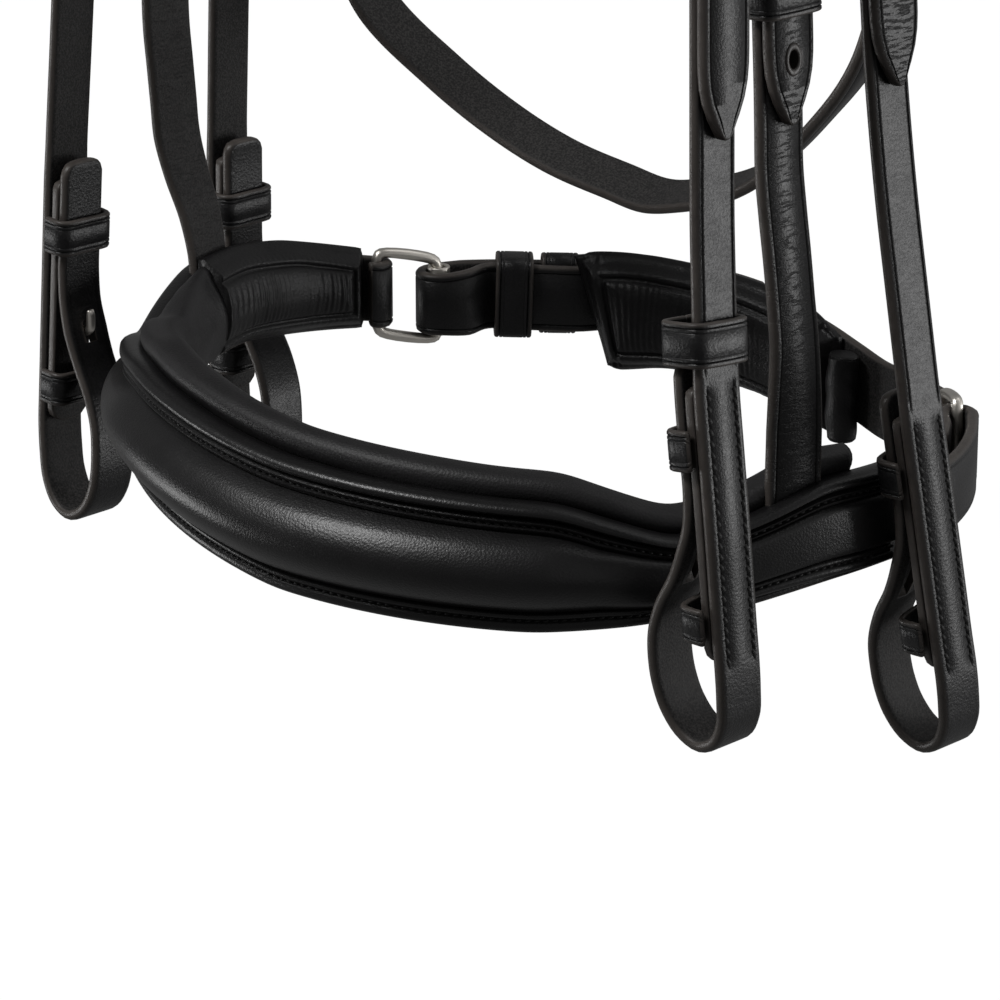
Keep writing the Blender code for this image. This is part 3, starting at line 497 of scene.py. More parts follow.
def flat_strap(name, length, width, thick, lines, cells, edge):
    """A flat strip along X with rounded long edges, a cut at each line and a number of cells along."""
    bpy.ops.object.select_all(action="DESELECT")
    bpy.ops.mesh.primitive_cube_add(size=1, location=(length / 2, 0, 0), scale=(length, width, thick))
    item = fresh(name)
    bpy.ops.object.transform_apply(location=True, rotation=True, scale=True)
    edit_mode(True)
    choose(item, "EDGE", runs_long)
    bpy.ops.mesh.bevel(offset=edge, segments=4, affect="EDGES")
    for y in lines:
        bpy.ops.mesh.select_all(action="SELECT")
        bpy.ops.mesh.bisect(plane_co=(0, y, 0), plane_no=(0, 1, 0))
    first = ceil(sqrt(cells))
    for cuts in (first, ceil(cells / first)):
        choose(item, "EDGE", runs_long)
        if cuts > 1:
            bpy.ops.mesh.subdivide(number_cuts=cuts - 1)
    edit_mode(False)
    return item


def places_along(length, cell, start_zone, stop_zone):
    """Places of the cross cuts: close at both ends and through pointed tips, even between."""
    ends = []
    for zone in (start_zone, stop_zone):
        close = [0, .00008, .00025, .0005, .0009]
        ends.append(close + list(np.arange(.0014, zone, .0006)))
    low, high = ends[0][-1] + cell * .6, length - ends[1][-1] - cell * .6
    middle = max(2, ceil((high - low) / cell))
    total = len(ends[0]) + len(ends[1]) + middle
    first = ceil(sqrt(total))
    middle += first * ceil(total / first) - total
    return np.array(ends[0] + list(np.linspace(low, high, middle + 1)) + [length - e for e in ends[1][::-1]])


def laid_strap(name, route, thick=LEATHER_T, face=1, creases=((CREASE_IN, .00034, .0003),), edge=.00120, cell=.0017,
               tips=(0, 0), butted=False):
    """A strap on a route. Its creases are (in from the edge, depth, half width, from, to), on the side face."""
    flat = route.wide.max()
    lines = sorted({side * (flat / 2 - crease[0] + shift * crease[2]) for crease in creases for side in (-1, 1)
                    for shift in (-1, 0, 1)} | {0})
    places = places_along(route.length, cell, *tips)
    item = flat_strap(name, route.length, flat, thick, lines, len(places) - 1, min(edge, thick * .47))
    found = points_of(item)
    rank = np.rint(found[:, 0] / route.length * (len(places) - 1)).astype(int)
    s = places[rank]
    y, z = found[:, 1], found[:, 2]
    from_edge = flat / 2 - abs(y)
    half = route.width(s) / 2
    zone = np.minimum(.0034, half * .8)
    flat_zone = .0034
    kept = np.where(from_edge < flat_zone, half - from_edge * zone / flat_zone,
                    (half - zone) * abs(y) / (flat / 2 - flat_zone))
    end = np.minimum(np.minimum(s, route.length - s), .0009)
    inset = .0009 - np.sqrt(np.maximum(.0009 ** 2 - (.0009 - end) ** 2, 0))
    inset *= .35 if butted else 1
    lift = np.zeros(len(s))
    for crease in creases:
        start, stop = crease[3:] if len(crease) > 3 else (0, route.length)
        on = (abs(from_edge - crease[0]) < .0001) & (z * face > 0) & (s >= start) & (s <= stop)
        lift[on] -= crease[1]
    across = np.sign(y) * np.maximum(kept - inset, .00005)
    across[abs(y) < 1e-7] = 0
    up = np.sign(z) * np.maximum(abs(z) - inset, .0001) + lift * face
    set_points(item, route.place(s, across, up))
    border = np.maximum(half - abs(across), 0)
    if not butted:
        border = np.minimum(border, end * 1.3 + (end >= .0009))
    note(item, "lay", np.stack([s, border, z * face], 1))
    only(item)
    edit_mode(True)
    face_outward()
    edit_mode(False)
    smooth_shade(item)
    return item


def stitch_row(name, route, start, stop, across, out, pitch=STITCH_PITCH, length=.00255, thick=.00115, slant=27):
    """One slanted stitch modelled, repeated along X and laid on a route."""
    bpy.ops.object.select_all(action="DESELECT")
    bpy.ops.mesh.primitive_cylinder_add(vertices=6, radius=.5, depth=1, rotation=(0, pi / 2, 0))
    item = fresh(name)
    item.scale = (thick * .8, thick, length)
    bpy.ops.object.transform_apply(location=True, rotation=True, scale=True)
    edit_mode(True)
    choose(item, "EDGE", runs_long)
    bpy.ops.mesh.subdivide(number_cuts=3)
    for side in (-1, 1):
        choose(item, "VERT", lambda vert: vert.co.x * side > length * .45)
        bpy.ops.transform.resize(value=(1, .45, .45))
        bpy.ops.transform.translate(value=(0, 0, -thick * .55))
        choose(item, "VERT", lambda vert: length * .2 < vert.co.x * side < length * .3)
        bpy.ops.transform.translate(value=(0, 0, -thick * .08))
    bpy.ops.mesh.select_all(action="SELECT")
    bpy.ops.transform.rotate(value=radians(-slant), orient_axis="Z", center_override=(0, 0, 0))
    edit_mode(False)
    repeat = item.modifiers.new("repeat", "ARRAY")
    count = max(2, int((stop - start) / pitch))
    repeat.use_relative_offset, repeat.use_constant_offset = False, True
    repeat.constant_offset_displace = ((stop - start) / count, 0, 0)
    repeat.count = count
    bpy.ops.object.modifier_apply(modifier="repeat")
    found = points_of(item)
    set_points(item, route.place(found[:, 0] + start + pitch / 2, found[:, 1] + across, found[:, 2] + out))
    smooth_shade(item, 60)
    return item


def joined(name, items):
    only(items[0])
    for item in items:
        item.select_set(True)
    bpy.ops.object.join()
    items[0].name = items[0].data.name = name
    return items[0]


# Where the straps run --------------------

def along(table, height):
    x, y = value_at(table, height)
    return Vector((x, y, RING_LOW + height))


def frame_at(table, side, height, shift=0):
    """Middle, outward and width directions of a side strap there; shift moves along outward."""
    low, high, here = along(table, height - .004), along(table, height + .004), along(table, height)
    here.x *= side
    way = high - low
    way.x *= side
    out = Vector((way.z, 0, -way.x)).normalized() * side
    wide = out.cross(way).normalized() * -side
    return here + out * shift, out, wide if wide.y > 0 else -wide


def spread(high, low, count):
    return [high + (low - high) * i / (count - 1) for i in range(count)]


def side_rows(table, side, heights, width, shift=0):
    return [(*frame_at(table, side, height, shift)[0], width) for height in heights]


def billet_rows(table, side, tip, top_rows):
    """A cheek's end: down its outside, round the loop and back up its inside to the tip."""
    rows = list(top_rows)

    def row(out, share, width):
        rows.append((*frame_at(table, side, tip - BILLET_LEN * share, out)[0], width))
    row(0, -.020, CHEEK_W)
    for share in (.060, .225, .400, .560, .655, .757):
        row(0, share, BILLET_W)
    for out, share in LOOP:
        row(out, share, BILLET_W + (RETURN_W - BILLET_W) * max(0, (.95 - share) / .5) * (out < -.0098))
    for out, share in ((-.0070, .400), (-RETURN_OUT, .330), (-RETURN_OUT, .180), (-RETURN_OUT, .065),
                       (-RETURN_OUT, .030)):
        row(out, share, RETURN_W)
    for share, width in ((.012, .84), (.005, .66), (0, .42)):
        row(-RETURN_OUT, share, RETURN_W * width)
    return rows


def top_fold(table, side, width):
    """A strap's top: up the inside, round the buckle bar and down the outside."""
    bar = BUCKLE_AT - RING_LOW
    reach = WIRE + CLEAR + LEATHER_T / 2
    rows = side_rows(table, side, (bar - .026, bar - .014, bar - .004), width, -2 * reach)
    for turn in (150, 120, 90, 60, 30):
        here, out, _ = frame_at(table, side, bar, -reach)
        rows.append((*(here + out * reach * cos(radians(turn)) + Vector((0, 0, reach * sin(radians(turn))))), width))
    return rows


def arch_rows(side, y_top, table, lay, width, start, stop=-9):
    """Down one side of the arch, lay outside the crown leather's middle, drifting to a side strap's top."""
    fine = np.array(ARCH)
    path = Route([(x, 0, z, 1) for x, z in fine])
    fine = path.place(np.linspace(0, path.length, 34), 0 * np.arange(34), 0 * np.arange(34))[:, (0, 2)]
    goal = value_at(table, .190) if table else (.1034, y_top)
    rows = []
    for i, (x, z) in enumerate(fine):
        if x < start or z < stop:
            continue
        before, after = fine[max(i - 1, 0)], fine[min(i + 1, len(fine) - 1)]
        way = Vector((after[0] - before[0], 0, after[1] - before[1])).normalized()
        out = Vector((-way.z, 0, way.x))
        share = min(1, max(0, (CROWN_END - z) / .257))
        y = y_top + (goal[1] - y_top) * share
        x += (goal[0] - .1034) * share
        rows.append(((x + out.x * lay) * side, y, z + out.z * lay, width))
    return rows


def point_rows(prefix, table, side):
    """A crown strap outside the side strap below the buckle, to its pointed tip."""
    tip = POINT_TIP - POINT_DROPS[prefix] - RING_LOW
    rows = []
    for height, share in ((BUCKLE_AT - RING_LOW, 1), (tip + .030, 1), (tip + .0190, 1), (tip + .0155, .985),
                          (tip + .0120, .93), (tip + .0085, .80), (tip + .0050, .58), (tip + .0020, .32),
                          (tip + .0005, .16), (tip, .10)):
        rows.append((*frame_at(table, side, height, LEATHER_T + CLEAR)[0], POINT_W * share))
    return rows


def over_crown(prefix, y_top, near_table, off_table, off_rows):
    lay = LEATHER_T + CLEAR
    near = arch_rows(1, y_top, near_table, lay, POINT_W, .004, POINT_TOP) + point_rows(prefix, near_table, 1)
    middle = [(0, y_top, ARCH[0][1] + lay, POINT_W)]
    return near[::-1] + middle + arch_rows(-1, y_top, off_table, lay, POINT_W, .004) + off_rows


def hanger_rows(table, side, heights):
    """A noseband hanger, its skived end turned to lie along the noseband."""
    rows = []
    for height in heights:
        here, _, _ = frame_at(table, side, height)
        turn = min(1, max(0, (.075 - height) / .025))
        slant = atan2((here.y - RING_SHIFT[1]) / RING_Y ** 2, abs(here.x - RING_SHIFT[0]) / RING_X ** 2) * side * turn
        rows.append((*here, HANGER_W, (-sin(slant), cos(slant), 0)))
    return rows


def ring_point(angle, out=0, z=0):
    a = radians(angle)
    normal = Vector((cos(a) / RING_X, sin(a) / RING_Y, 0)).normalized()
    return Vector((RING_X * cos(a) + RING_SHIFT[0], RING_Y * sin(a) + RING_SHIFT[1], RING_LOW + z)) + normal * out


def ring_rows(angles, table, out, width):
    return [(*ring_point(angle, out, value_at(table, angle)), width) for angle in angles]


def fold_rows(bar_angle, table, bar_out, radius, way, width, turns):
    """Round an upright bar; way is the ring direction the fold bulges towards."""
    a = radians(bar_angle)
    normal = Vector((cos(a) / RING_X, sin(a) / RING_Y, 0)).normalized()
    ahead = Vector((-sin(a) * RING_X, cos(a) * RING_Y, 0)).normalized() * way
    center = ring_point(bar_angle, bar_out, value_at(table, bar_angle))
    return [(*(center + normal * radius * cos(radians(t)) + ahead * radius * sin(radians(t))), width) for t in turns]


# Bands --------------------

def band_route(center, out, wide, half_out, half_wide, height, wall, opened):
    """Round the middle of a band's wall, from its inner side; opened leaves the outer side off."""
    a, b, r = half_out + wall / 2, half_wide + wall / 2, .0012 + wall / 2
    spots = []
    for ca, cb, start in ((-1, 1, 90), (1, 1, 0), (1, -1, 270), (-1, -1, 180)):
        spots += [(ca * (a - r) + r * cos(radians(t)), cb * (b - r) + r * sin(radians(t)))
                  for t in range(start + 90, start - 1, -15)]
    spots = [(-a, 0)] + spots
    if opened:
        start = [spot for spot in spots if spot[0] < 0]
        up_side = [s for s in start if s[1] >= 0][::-1]
        low_side = [s for s in start if s[1] < 0][::-1]
        spots = [(half_out, b)] + up_side + low_side + [(half_out, -b)]
    up = out.cross(wide).normalized()
    rows = [(*(center + out * s + wide * w), height) for s, w in spots]
    return Route(rows, tuple(up), closed=not opened)


def band(name, center, out, wide, half_out, half_wide, height, wall=.0016, opened=False, body="bridle"):
    route = band_route(center, out, wide, half_out, half_wide, height, wall, opened)
    lifted, mid = (np.linalg.norm(route.spot(route.length / 2, lift) - np.array(center)) for lift in (.001, 0.0))
    outside = 1 if lifted > mid else -1
    item = laid_strap(name + "_band", route, wall, outside, BAND_CREASES, .00065, .0011, butted=not opened)
    return dress(item, BAND, [name], body)


# Metal --------------------

def merged_copy(node, name):
    item = bpy.data.objects.new(name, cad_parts[node].data.copy())
    item.data.name = name
    bpy.context.scene.collection.objects.link(item)
    item.data.materials.clear()
    only(item)
    if item.data.has_custom_normals:
        bpy.ops.mesh.customdata_custom_splitnormals_clear()
    edit_mode(True)
    bpy.ops.mesh.select_all(action="SELECT")
    bpy.ops.mesh.remove_doubles(threshold=1e-5)
    bpy.ops.mesh.tris_convert_to_quads()
    bpy.ops.mesh.normals_make_consistent(inside=False)
    edit_mode(False)
    return item


def round_metal(node, body="bridle", fuller=.00011):
    """A fitting's wire, filled out a little and made round."""
    item = merged_copy(node, node + "_metal")
    set_points(item, points_of(item) + normals_of(item) * fuller)
    only(item)
    apply_new(item, "SUBSURF", levels=2, render_levels=2)
    bpy.ops.object.shade_smooth()
    return dress(item, NICKEL, [node], body)


# Billets, cheeks and crown --------------------

def slot_cutter(center, size, turn=0):
    """A round-ended slot's shape."""
    bpy.ops.object.select_all(action="DESELECT")
    bpy.ops.mesh.primitive_cube_add(size=1, location=center, rotation=(0, turn, 0), scale=size)
    item = bpy.context.object
    bpy.ops.object.transform_apply(location=False, rotation=False, scale=True)
    edit_mode(True)
    choose(item, "EDGE", runs_long)
    bpy.ops.mesh.bevel(offset=min(size[1], size[2]) * .42, segments=4, affect="EDGES")
    edit_mode(False)
    return item


def punch(item, route, s, radius=.0016):
    """An oval hole through a strap. Gives back where its middle is and which way it points."""
    spot, above = route.spot(s), route.spot(s, .01)
    bpy.ops.object.select_all(action="DESELECT")
    bpy.ops.mesh.primitive_cylinder_add(vertices=20, radius=radius, depth=.02, location=spot)
    cutter = bpy.context.object
    turn = Vector(above - spot).to_track_quat("Z", "Y").to_euler()
    cutter.rotation_euler, cutter.scale = turn, (1, 1.5, 1)
    cut_away(item, cutter)
    return spot, turn


def hole_rim(name, spot, turn):
    """The raised lip that a tongue has pulled round a punched hole."""
    bpy.ops.object.select_all(action="DESELECT")
    bpy.ops.mesh.primitive_torus_add(major_segments=48, minor_segments=12, major_radius=.0021, minor_radius=.00062)
    item = fresh(name)
    item.scale = (1, 1.42, .62)
    bpy.ops.object.transform_apply(location=False, rotation=False, scale=True)
    item.rotation_euler, item.location = turn, spot
    bpy.ops.object.transform_apply(location=True, rotation=True, scale=False)
    # These lay values give the lip part of the edge colour: burnished tone and painted highlight.
    note(item, "lay", np.tile((.02, .0006, .0015), (len(item.data.vertices), 1)))
    bpy.ops.object.shade_smooth()
    return item


def billet_creases(route, table, side, tip):
    """The edge creases all along, and a stitch groove on the doubled part."""
    start = route.nearest(frame_at(table, side, tip - BILLET_LEN * LINING_AT[0])[0])
    stop = start + BILLET_LEN * (LINING_AT[1] - LINING_AT[0])
    return ((STITCH_IN, .00055, .0005, start, stop), (CREASE_IN - .0002, .00034, .0003, 0, start - .003)), start, stop


def make_billet(prefix, table, side, rows, face, tips=(0, 0)):
    tip = TIP_AT[prefix]
    route = Route(rows)
    creases, start, stop = billet_creases(route, table, side, tip)
    kind = "_cheek" if "bradoon" in prefix else "_strap"
    item = laid_strap(prefix + kind + "_leather", route, face=face, creases=creases, edge=.00140, tips=tips)
    here, out, _ = frame_at(table, side, tip - BILLET_LEN * .475, -.0090)
    cut_away(item, slot_cutter(here - Vector((0, 0, .0035)), (.0056, .0032, .0140)))
    dress(item, BILLET, [prefix + kind])
    threads = []
    for edge in (-1, 1):
        threads.append(stitch_row(f"{prefix}_thread", route, start + .001, stop, edge * (BILLET_W / 2 - STITCH_IN),
                                  face * (LEATHER_T / 2 - .00004)))
    dress(joined(prefix + "_stitches", threads), THREAD)
    rows = []
    for share, width in ((LINING_AT[0], .7), (LINING_AT[0] + .012, 1), (.225, 1), (.400, 1), (.560, 1), (.655, 1),
                         (LINING_AT[1] - .03, 1), (LINING_AT[1] - .01, .7), (LINING_AT[1], .4)):
        here = frame_at(table, side, tip - BILLET_LEN * share, -(LEATHER_T + LINING_T) / 2 - CLEAR)[0]
        rows.append((*here, (RETURN_W - .0008) * width))
    lining = laid_strap(prefix + "_inner_leather", Route(rows), LINING_T, face, (), .0006, .0022)
    dress(lining, LEATHER, [prefix + "_lining"])
    near, far = LEATHER_T / 2 + CLEAR, RETURN_OUT + LEATHER_T / 2 + CLEAR
    for part, share, tall in (("_upper_keeper", .205, .0094), ("_lower_keeper", .632, .0088)):
        center, out, wide = frame_at(table, side, tip - BILLET_LEN * share, -(near + far) / 2)
        band(prefix + part, center, out, wide, (far - near) / 2, RETURN_W / 2 + 2 * CLEAR, tall, opened=True)
    round_metal(prefix + "_stud")
    return item


def buckle(prefix, table, side, point, low):
    """Holes for a buckle's tongue, and its frame and tongue in metal."""
    bar = BUCKLE_AT - RING_LOW
    reach = WIRE + CLEAR + LEATHER_T / 2
    here, out, _ = frame_at(table, side, bar, -reach)
    lift, push = .0150, reach + LEATHER_T * 1.5 + 2 * CLEAR + WIRE
    rise = atan2(lift, push) - asin((WIRE + .0010 + CLEAR) / hypot(push, lift))
    way = out * cos(rise) + Vector((0, 0, 1)) * sin(rise)
    length = hypot(push, lift) + .0030
    cut_away(point, slot_cutter(here + way * length * .52, (.0200, .0034, .0042), -side * rise))
    cut_away(low, slot_cutter(here + way * .0042, (.0100, .0034, .0080), -side * rise))
    round_metal(prefix + "_buckle")
    round_metal(prefix + "_tongue", prefix + "_tongue_body")


def make_crown():
    left = arch_rows(-1, 0, None, 0, CROWN_W, .004, CROWN_END)
    right = arch_rows(1, 0, None, 0, CROWN_W, .004, CROWN_END)
    route = Route(left[::-1] + [(0, 0, ARCH[0][1], CROWN_W)] + right)
    crown = laid_strap("crown_leather_top", route, cell=.0024,
                       creases=((.0016, .0004, .0003), (CROWN_STITCH_IN, .0004, .0005)))
    dress(crown, LEATHER, ["crown_leather"])
    rows = [stitch_row("crown_thread", route, .004, route.length - .004, side * (CROWN_W / 2 - CROWN_STITCH_IN),
                       LEATHER_T / 2, .0034, .0027, .00070, 9 * side) for side in (-1, 1)]
    dress(joined("crown_stitches", rows), THREAD)
    points = {}
    for side, name, table in ((1, "near", NEAR_CHEEK), (-1, "off", OFF_CHEEK)):
        down = arch_rows(side, POINT_Y[0], table, LEATHER_T + CLEAR, POINT_W, .0595, POINT_TOP)
        route = Route(down + point_rows(name + "_cheek", table, side))
        item = laid_strap(name + "_cheek_point_leather", route, face=side, tips=(0, .021))
        for s in TONGUE_HOLES:
            punch(item, route, route.length - s)
        points[name] = dress(item, LEATHER, [name + "_cheek_point"])
    return points


def heights_from(high, low, step=.012):
    return spread(high, low, max(2, ceil((high - low) / step)))


def make_sides(points):
    made = []
    for prefix in ("near_cheek", "off_cheek", "near_bradoon"):
        (table, side), tip = SIDES[prefix], TIP_AT[prefix]
        rows = top_fold(table, side, CHEEK_W) + side_rows(table, side, heights_from(BELOW_BUCKLE, tip + .016), CHEEK_W)
        made.append(make_billet(prefix, table, side, billet_rows(table, side, tip, rows), side))
    near, off, bradoon = made
    rows = top_fold(NEAR_HANGER, 1, HANGER_W)
    rows += hanger_rows(NEAR_HANGER, 1, spread(BELOW_BUCKLE, HANGER_END[0], 15))
    hanger = laid_strap("near_hanger_leather", Route(rows), face=1)
    dress(hanger, SHADED_WRINKLE_LEATHER, ["near_hanger_strap"])
    tip = TIP_AT["off_bradoon"]
    down = side_rows(OFF_BRADOON, -1, heights_from(OFF_START, tip + .016), CHEEK_W)
    rows = over_crown("near_bradoon", POINT_Y[2], NEAR_BRADOON, OFF_BRADOON, billet_rows(OFF_BRADOON, -1, tip, down))
    over = make_billet("off_bradoon", OFF_BRADOON, -1, rows, -1, (.021, 0))
    over.data.materials[0] = TIP_SHADED_WRINKLE_LEATHER
    over_route = Route(rows)
    for s in TONGUE_HOLES:
        punch(over, over_route, s)
    down = hanger_rows(OFF_HANGER, -1, spread(OFF_START, HANGER_END[1], 16))
    route = Route(over_crown("near_hanger", POINT_Y[1], NEAR_HANGER, OFF_HANGER, down))
    nose = laid_strap("noseband_headstrap_leather", route, face=-1, tips=(.021, 0))
    for s in (.0460, .0900, .1080, .1260):
        punch(nose, route, s)
    _, turn = punch(nose, route, .0150)
    lip = route.spot(.0150, -LEATHER_T / 2 + .00005)
    dress(hole_rim("near_hanger_hole_rim", lip, turn), SHADED_WRINKLE_LEATHER)
    dress(nose, SHADED_WRINKLE_LEATHER, ["noseband_headstrap"])
    pairs = ((points["near"], near), (points["off"], off), (over, bradoon), (nose, hanger))
    for prefix, pair in zip(SIDES, pairs):
        buckle(prefix, *SIDES[prefix], *pair)


def make_runners():
    pair = LEATHER_T + CLEAR / 2
    for prefix, (table, side) in SIDES.items():
        loose = prefix == "near_hanger"     # this one slides, below the buckle's fold
        drop, fold = (.0350, 0) if loose else (.0160, 2 * (WIRE + CLEAR + LEATHER_T / 2))
        center, out, wide = frame_at(table, side, BUCKLE_AT - RING_LOW - drop, (LEATHER_T + CLEAR) / 2 - fold / 2)
        body = "near_hanger_point_keeper_body" if loose else "bridle"
        band(prefix + "_point_keeper", center, out, wide, pair + fold / 2 + CLEAR, POINT_W / 2 + CLEAR, .0095,
             body=body)
    center, out, wide = frame_at(NEAR_CHEEK, 1, TIP_AT["near_cheek"] + .0035, -RETURN_OUT / 2)
    band("near_cheek_runner", center, out, wide, (RETURN_OUT + LEATHER_T) / 2 + CLEAR, BILLET_W / 2 + CLEAR, .0102,
         body="near_cheek_runner_body")


# Noseband --------------------

def nose_profile(angle, share):
    """The nosepiece's section, (out, height): flange, stitch groove, ridge, swell, groove and rolled rim."""
    top, low = value_at(NOSE_TOP, angle), value_at(NOSE_LOW, angle)
    tall = top - low
    ends = sin(pi * min(1, max(0, .5 - abs(share - .5)) * 6 + .25) / 2)
    fade = min(1, max(.12, (-angle - 24) / 24)) * min(1, max(.3, (angle + 178) / 16))
    swell = .0070 * min(1, (tall / .032) ** 2) * ends * fade
    k = min(1, tall / .026)
    rim, back = .0044, .0019
    shape = [(back, low + .0004), (back + .0005, low), (rim - .0006, low), (rim, low + .0003),
             (rim + .0004, low + .0010), (rim + .0004, low + .0020 * k), (rim + .0001, low + .0025 * k),
             (rim - .0005, low + .0029 * k),
             (rim + .0000, low + .0033 * k), (rim + .0004, low + .0039 * k), (rim + .0002, low + .0045 * k),
             (rim - .0006, low + .0049 * k), (rim + .0003, low + .0053 * k), (rim + .0011, low + .0060 * k)]
    start, stop = low + .0060 * k, top - .0066 * k
    for step in range(1, 14):
        u = step / 14
        shape.append((rim + .0011 + swell * sin(pi * u) ** .62 * (1 - .06 * cos(2 * pi * u)),
                      start + (stop - start) * u))
    shape += [(rim + .0006, top - .0066 * k), (rim - .0004, top - .0061 * k), (rim + .0003, top - .0056 * k),
              (rim + .0004, top - .0050 * k), (rim - .0006, top - .0045 * k), (rim + .0002, top - .0040 * k),
              (rim + .0003, top - .0034 * k), (rim - .0002, top - .0030 * k), (rim - .0010, top - .0026 * k),
              (rim + .0002, top - .0022 * k), (rim + .0009, top - .0015 * k), (rim + .0008, top - .0007),
              (rim + .0003, top - .0001), (rim - .0006, top + .0004), (.0016, top + .0006), (-.0004, top + .0003),
              (-.0013, top - .0003), (-.0014, top - .0010), (-.0006, top - .0014), (back, top - .0016)]
    return shape


def ring_shell(name, start, stop, steps, profile):
    """A closed shell bent round the noseband, shaped from a grid whose rows follow the profile."""
    size = len(profile(start, 0))
    bpy.ops.object.select_all(action="DESELECT")
    bpy.ops.mesh.primitive_grid_add(x_subdivisions=steps, y_subdivisions=size, size=1)
    item = fresh(name)
    flat = points_of(item)
    columns = np.unique(np.round(flat[:, 0], 5), return_inverse=True)[1]
    rows = np.unique(np.round(flat[:, 1], 5), return_inverse=True)[1]
    last = columns.max()
    sections = []
    for i in range(last + 1):
        share = i / last
        angle = start + (stop - start) * share
        spots = profile(angle, share)
        sections.append([ring_point(angle, out, z) for out, z in spots] + [ring_point(angle, *spots[0])])
    sections = np.array(sections)
    set_points(item, sections[columns, rows])
    edges = (columns == 0) | (columns == last)
    item.data.attributes.new("cap", "BOOLEAN", "POINT").data.foreach_set("value", edges)
    edit_mode(True)
    bpy.ops.mesh.select_all(action="SELECT")
    bpy.ops.mesh.remove_doubles(threshold=1e-6)
    bpy.ops.mesh.select_all(action="DESELECT")
    bpy.ops.mesh.select_mode(type="EDGE")
    bpy.ops.mesh.select_non_manifold(extend=False, use_wire=False, use_boundary=True, use_multi_face=False,
                                     use_non_contiguous=False, use_verts=False)
    bpy.ops.mesh.edge_face_add()
    face_outward()
    edit_mode(False)
    return item


def nose_line(from_low, from_top, out):
    """A route round the nosepiece, a set height from its lower or upper edge."""
    rows = []
    for angle in np.arange(-178, -1, 2):
        top, low = value_at(NOSE_TOP, angle), value_at(NOSE_LOW, angle)
        k = min(1, (top - low) / .026)
        rows.append((*ring_point(angle, out, low + from_low * k if from_low else top - from_top * k), .002))
    return Route(rows, (0, 0, 1))


def make_noseband():
    bend = FRAME_WIRE + CLEAR + LEATHER_T / 2
    tail = ring_rows([OFF_BAR_FAR - 360 + 1.9], STRAP_MID, -2 * bend, FOLD_W)
    far_fold = fold_rows(OFF_BAR_FAR - 360, STRAP_MID, -bend, bend, -1, FOLD_W, (180, 140, 100, 60, 20))
    body = ring_rows(list(range(-196, 38, 6)) + [39], STRAP_MID, 0, .0184)
    near_fold = fold_rows(NEAR_BAR_FRONT, STRAP_MID, -bend, bend, 1, FOLD_W, (20, 60, 100, 140, 180))
    near_tail = ring_rows((37, 31), STRAP_MID, -2 * bend, FOLD_W)
    route = Route(tail + far_fold + body + near_fold + near_tail, (0, 0, 1))
    strap = laid_strap("noseband_strap_leather", route)
    dress(strap, LEATHER, ["noseband_strap"])
    piece = ring_shell("nosepiece_leather_front", -180, 0, 300, nose_profile)
    smooth_shade(piece, 60)
    dress(piece, SWELL, ["nosepiece"])
    rows = []
    for from_low, from_top, slant in ((.0029, 0, 12), (0, .0045, -12)):
        line = nose_line(from_low, from_top, .0044 - .0004)
        rows.append(stitch_row("nose_thread", line, .002, line.length - .002, 0, .0002, .0021, .0017, .00060, slant))
    dress(joined("nosepiece_stitches", rows), THREAD)
    round_metal("off_crank_frame", fuller=.00042)
    round_metal("near_crank_frame", fuller=.00030)
    roller = merged_copy("off_roller", "off_roller_metal")
    only(roller)
    apply_new(roller, "BEVEL", width=.00035, segments=3, limit_method="ANGLE")
    smooth_shade(roller, 35)
    dress(roller, NICKEL, ["off_roller"], "off_roller_body")


def make_crank():
    bend = FRAME_WIRE + CLEAR + LEATHER_T / 2
    turn_r = ROLLER_R + CLEAR + LEATHER_T / 2
    tail = ring_rows((66, 62, 58), BACK_MID, -bend * 2, FOLD_W)
    fold = fold_rows(NEAR_BAR_REAR, BACK_MID, -bend, bend, -1, FOLD_W, (160, 120, 80, 40, 0))
    body = ring_rows([58, 64, 70] + list(range(76, 127, 6)), BACK_MID, 0, JAW_W)
    jaw = laid_strap("jaw_strap_leather", Route(tail + fold + body, (0, 0, 1)))
    dress(jaw, LEATHER, ["jaw_strap"])
    inner = [(a, value_at(CRANK_INNER, a)) for a in (100, 106, 112, 118, 124, 128.5, 135, 143)]
    outer = [(a, value_at(CRANK_OUTER, a)) for a in (143, 135, 128.5, 124, 118, 112, 106, 102)]
    inner.append((146.4, -bend - turn_r * .8))
    outer.insert(0, (146.4, .0017))
    rows = [(*ring_point(a, o, value_at(BACK_MID, a)), CRANK_W) for a, o in inner]
    rows += fold_rows(OFF_BAR_NEAR, BACK_MID, -bend, turn_r, 1, CRANK_FOLD_W, (180, 150, 120, 90, 60, 30, 0))
    rows += [(*ring_point(a, o, value_at(BACK_MID, a)), CRANK_W) for a, o in outer]
    crank = laid_strap("crank_strap_leather", Route(rows, (0, 0, 1)), face=-1)
    dress(crank, LEATHER, ["crank_strap"])
    for name, angle in (("crank_runner", 138.6), ("crank_keeper", 132.0)):
        spots, inside = [], CRANK_INNER if name == "crank_runner" else CRANK_OUTER
        for at in (angle - 2.2, angle + 2.2):
            low, high = value_at(inside, at), value_at(CRANK_OUTER, at)
            spots.append(ring_point(at, (low + high) / 2, value_at(BACK_MID, at)))
        low, high = value_at(inside, angle), value_at(CRANK_OUTER, angle)
        ahead = (spots[1] - spots[0]).normalized()
        out = Vector((ahead.y, -ahead.x, 0)).normalized()
        half = (high - low) / 2 + LEATHER_T / 2 + CLEAR * (3 if name == "crank_runner" else 1)
        band(name, (spots[0] + spots[1]) / 2, -out, ahead.cross(out), half, CRANK_W / 2 + 2 * CLEAR, .0100, .0014,
             body="crank_runner_body" if name == "crank_runner" else "bridle")


# Pads --------------------

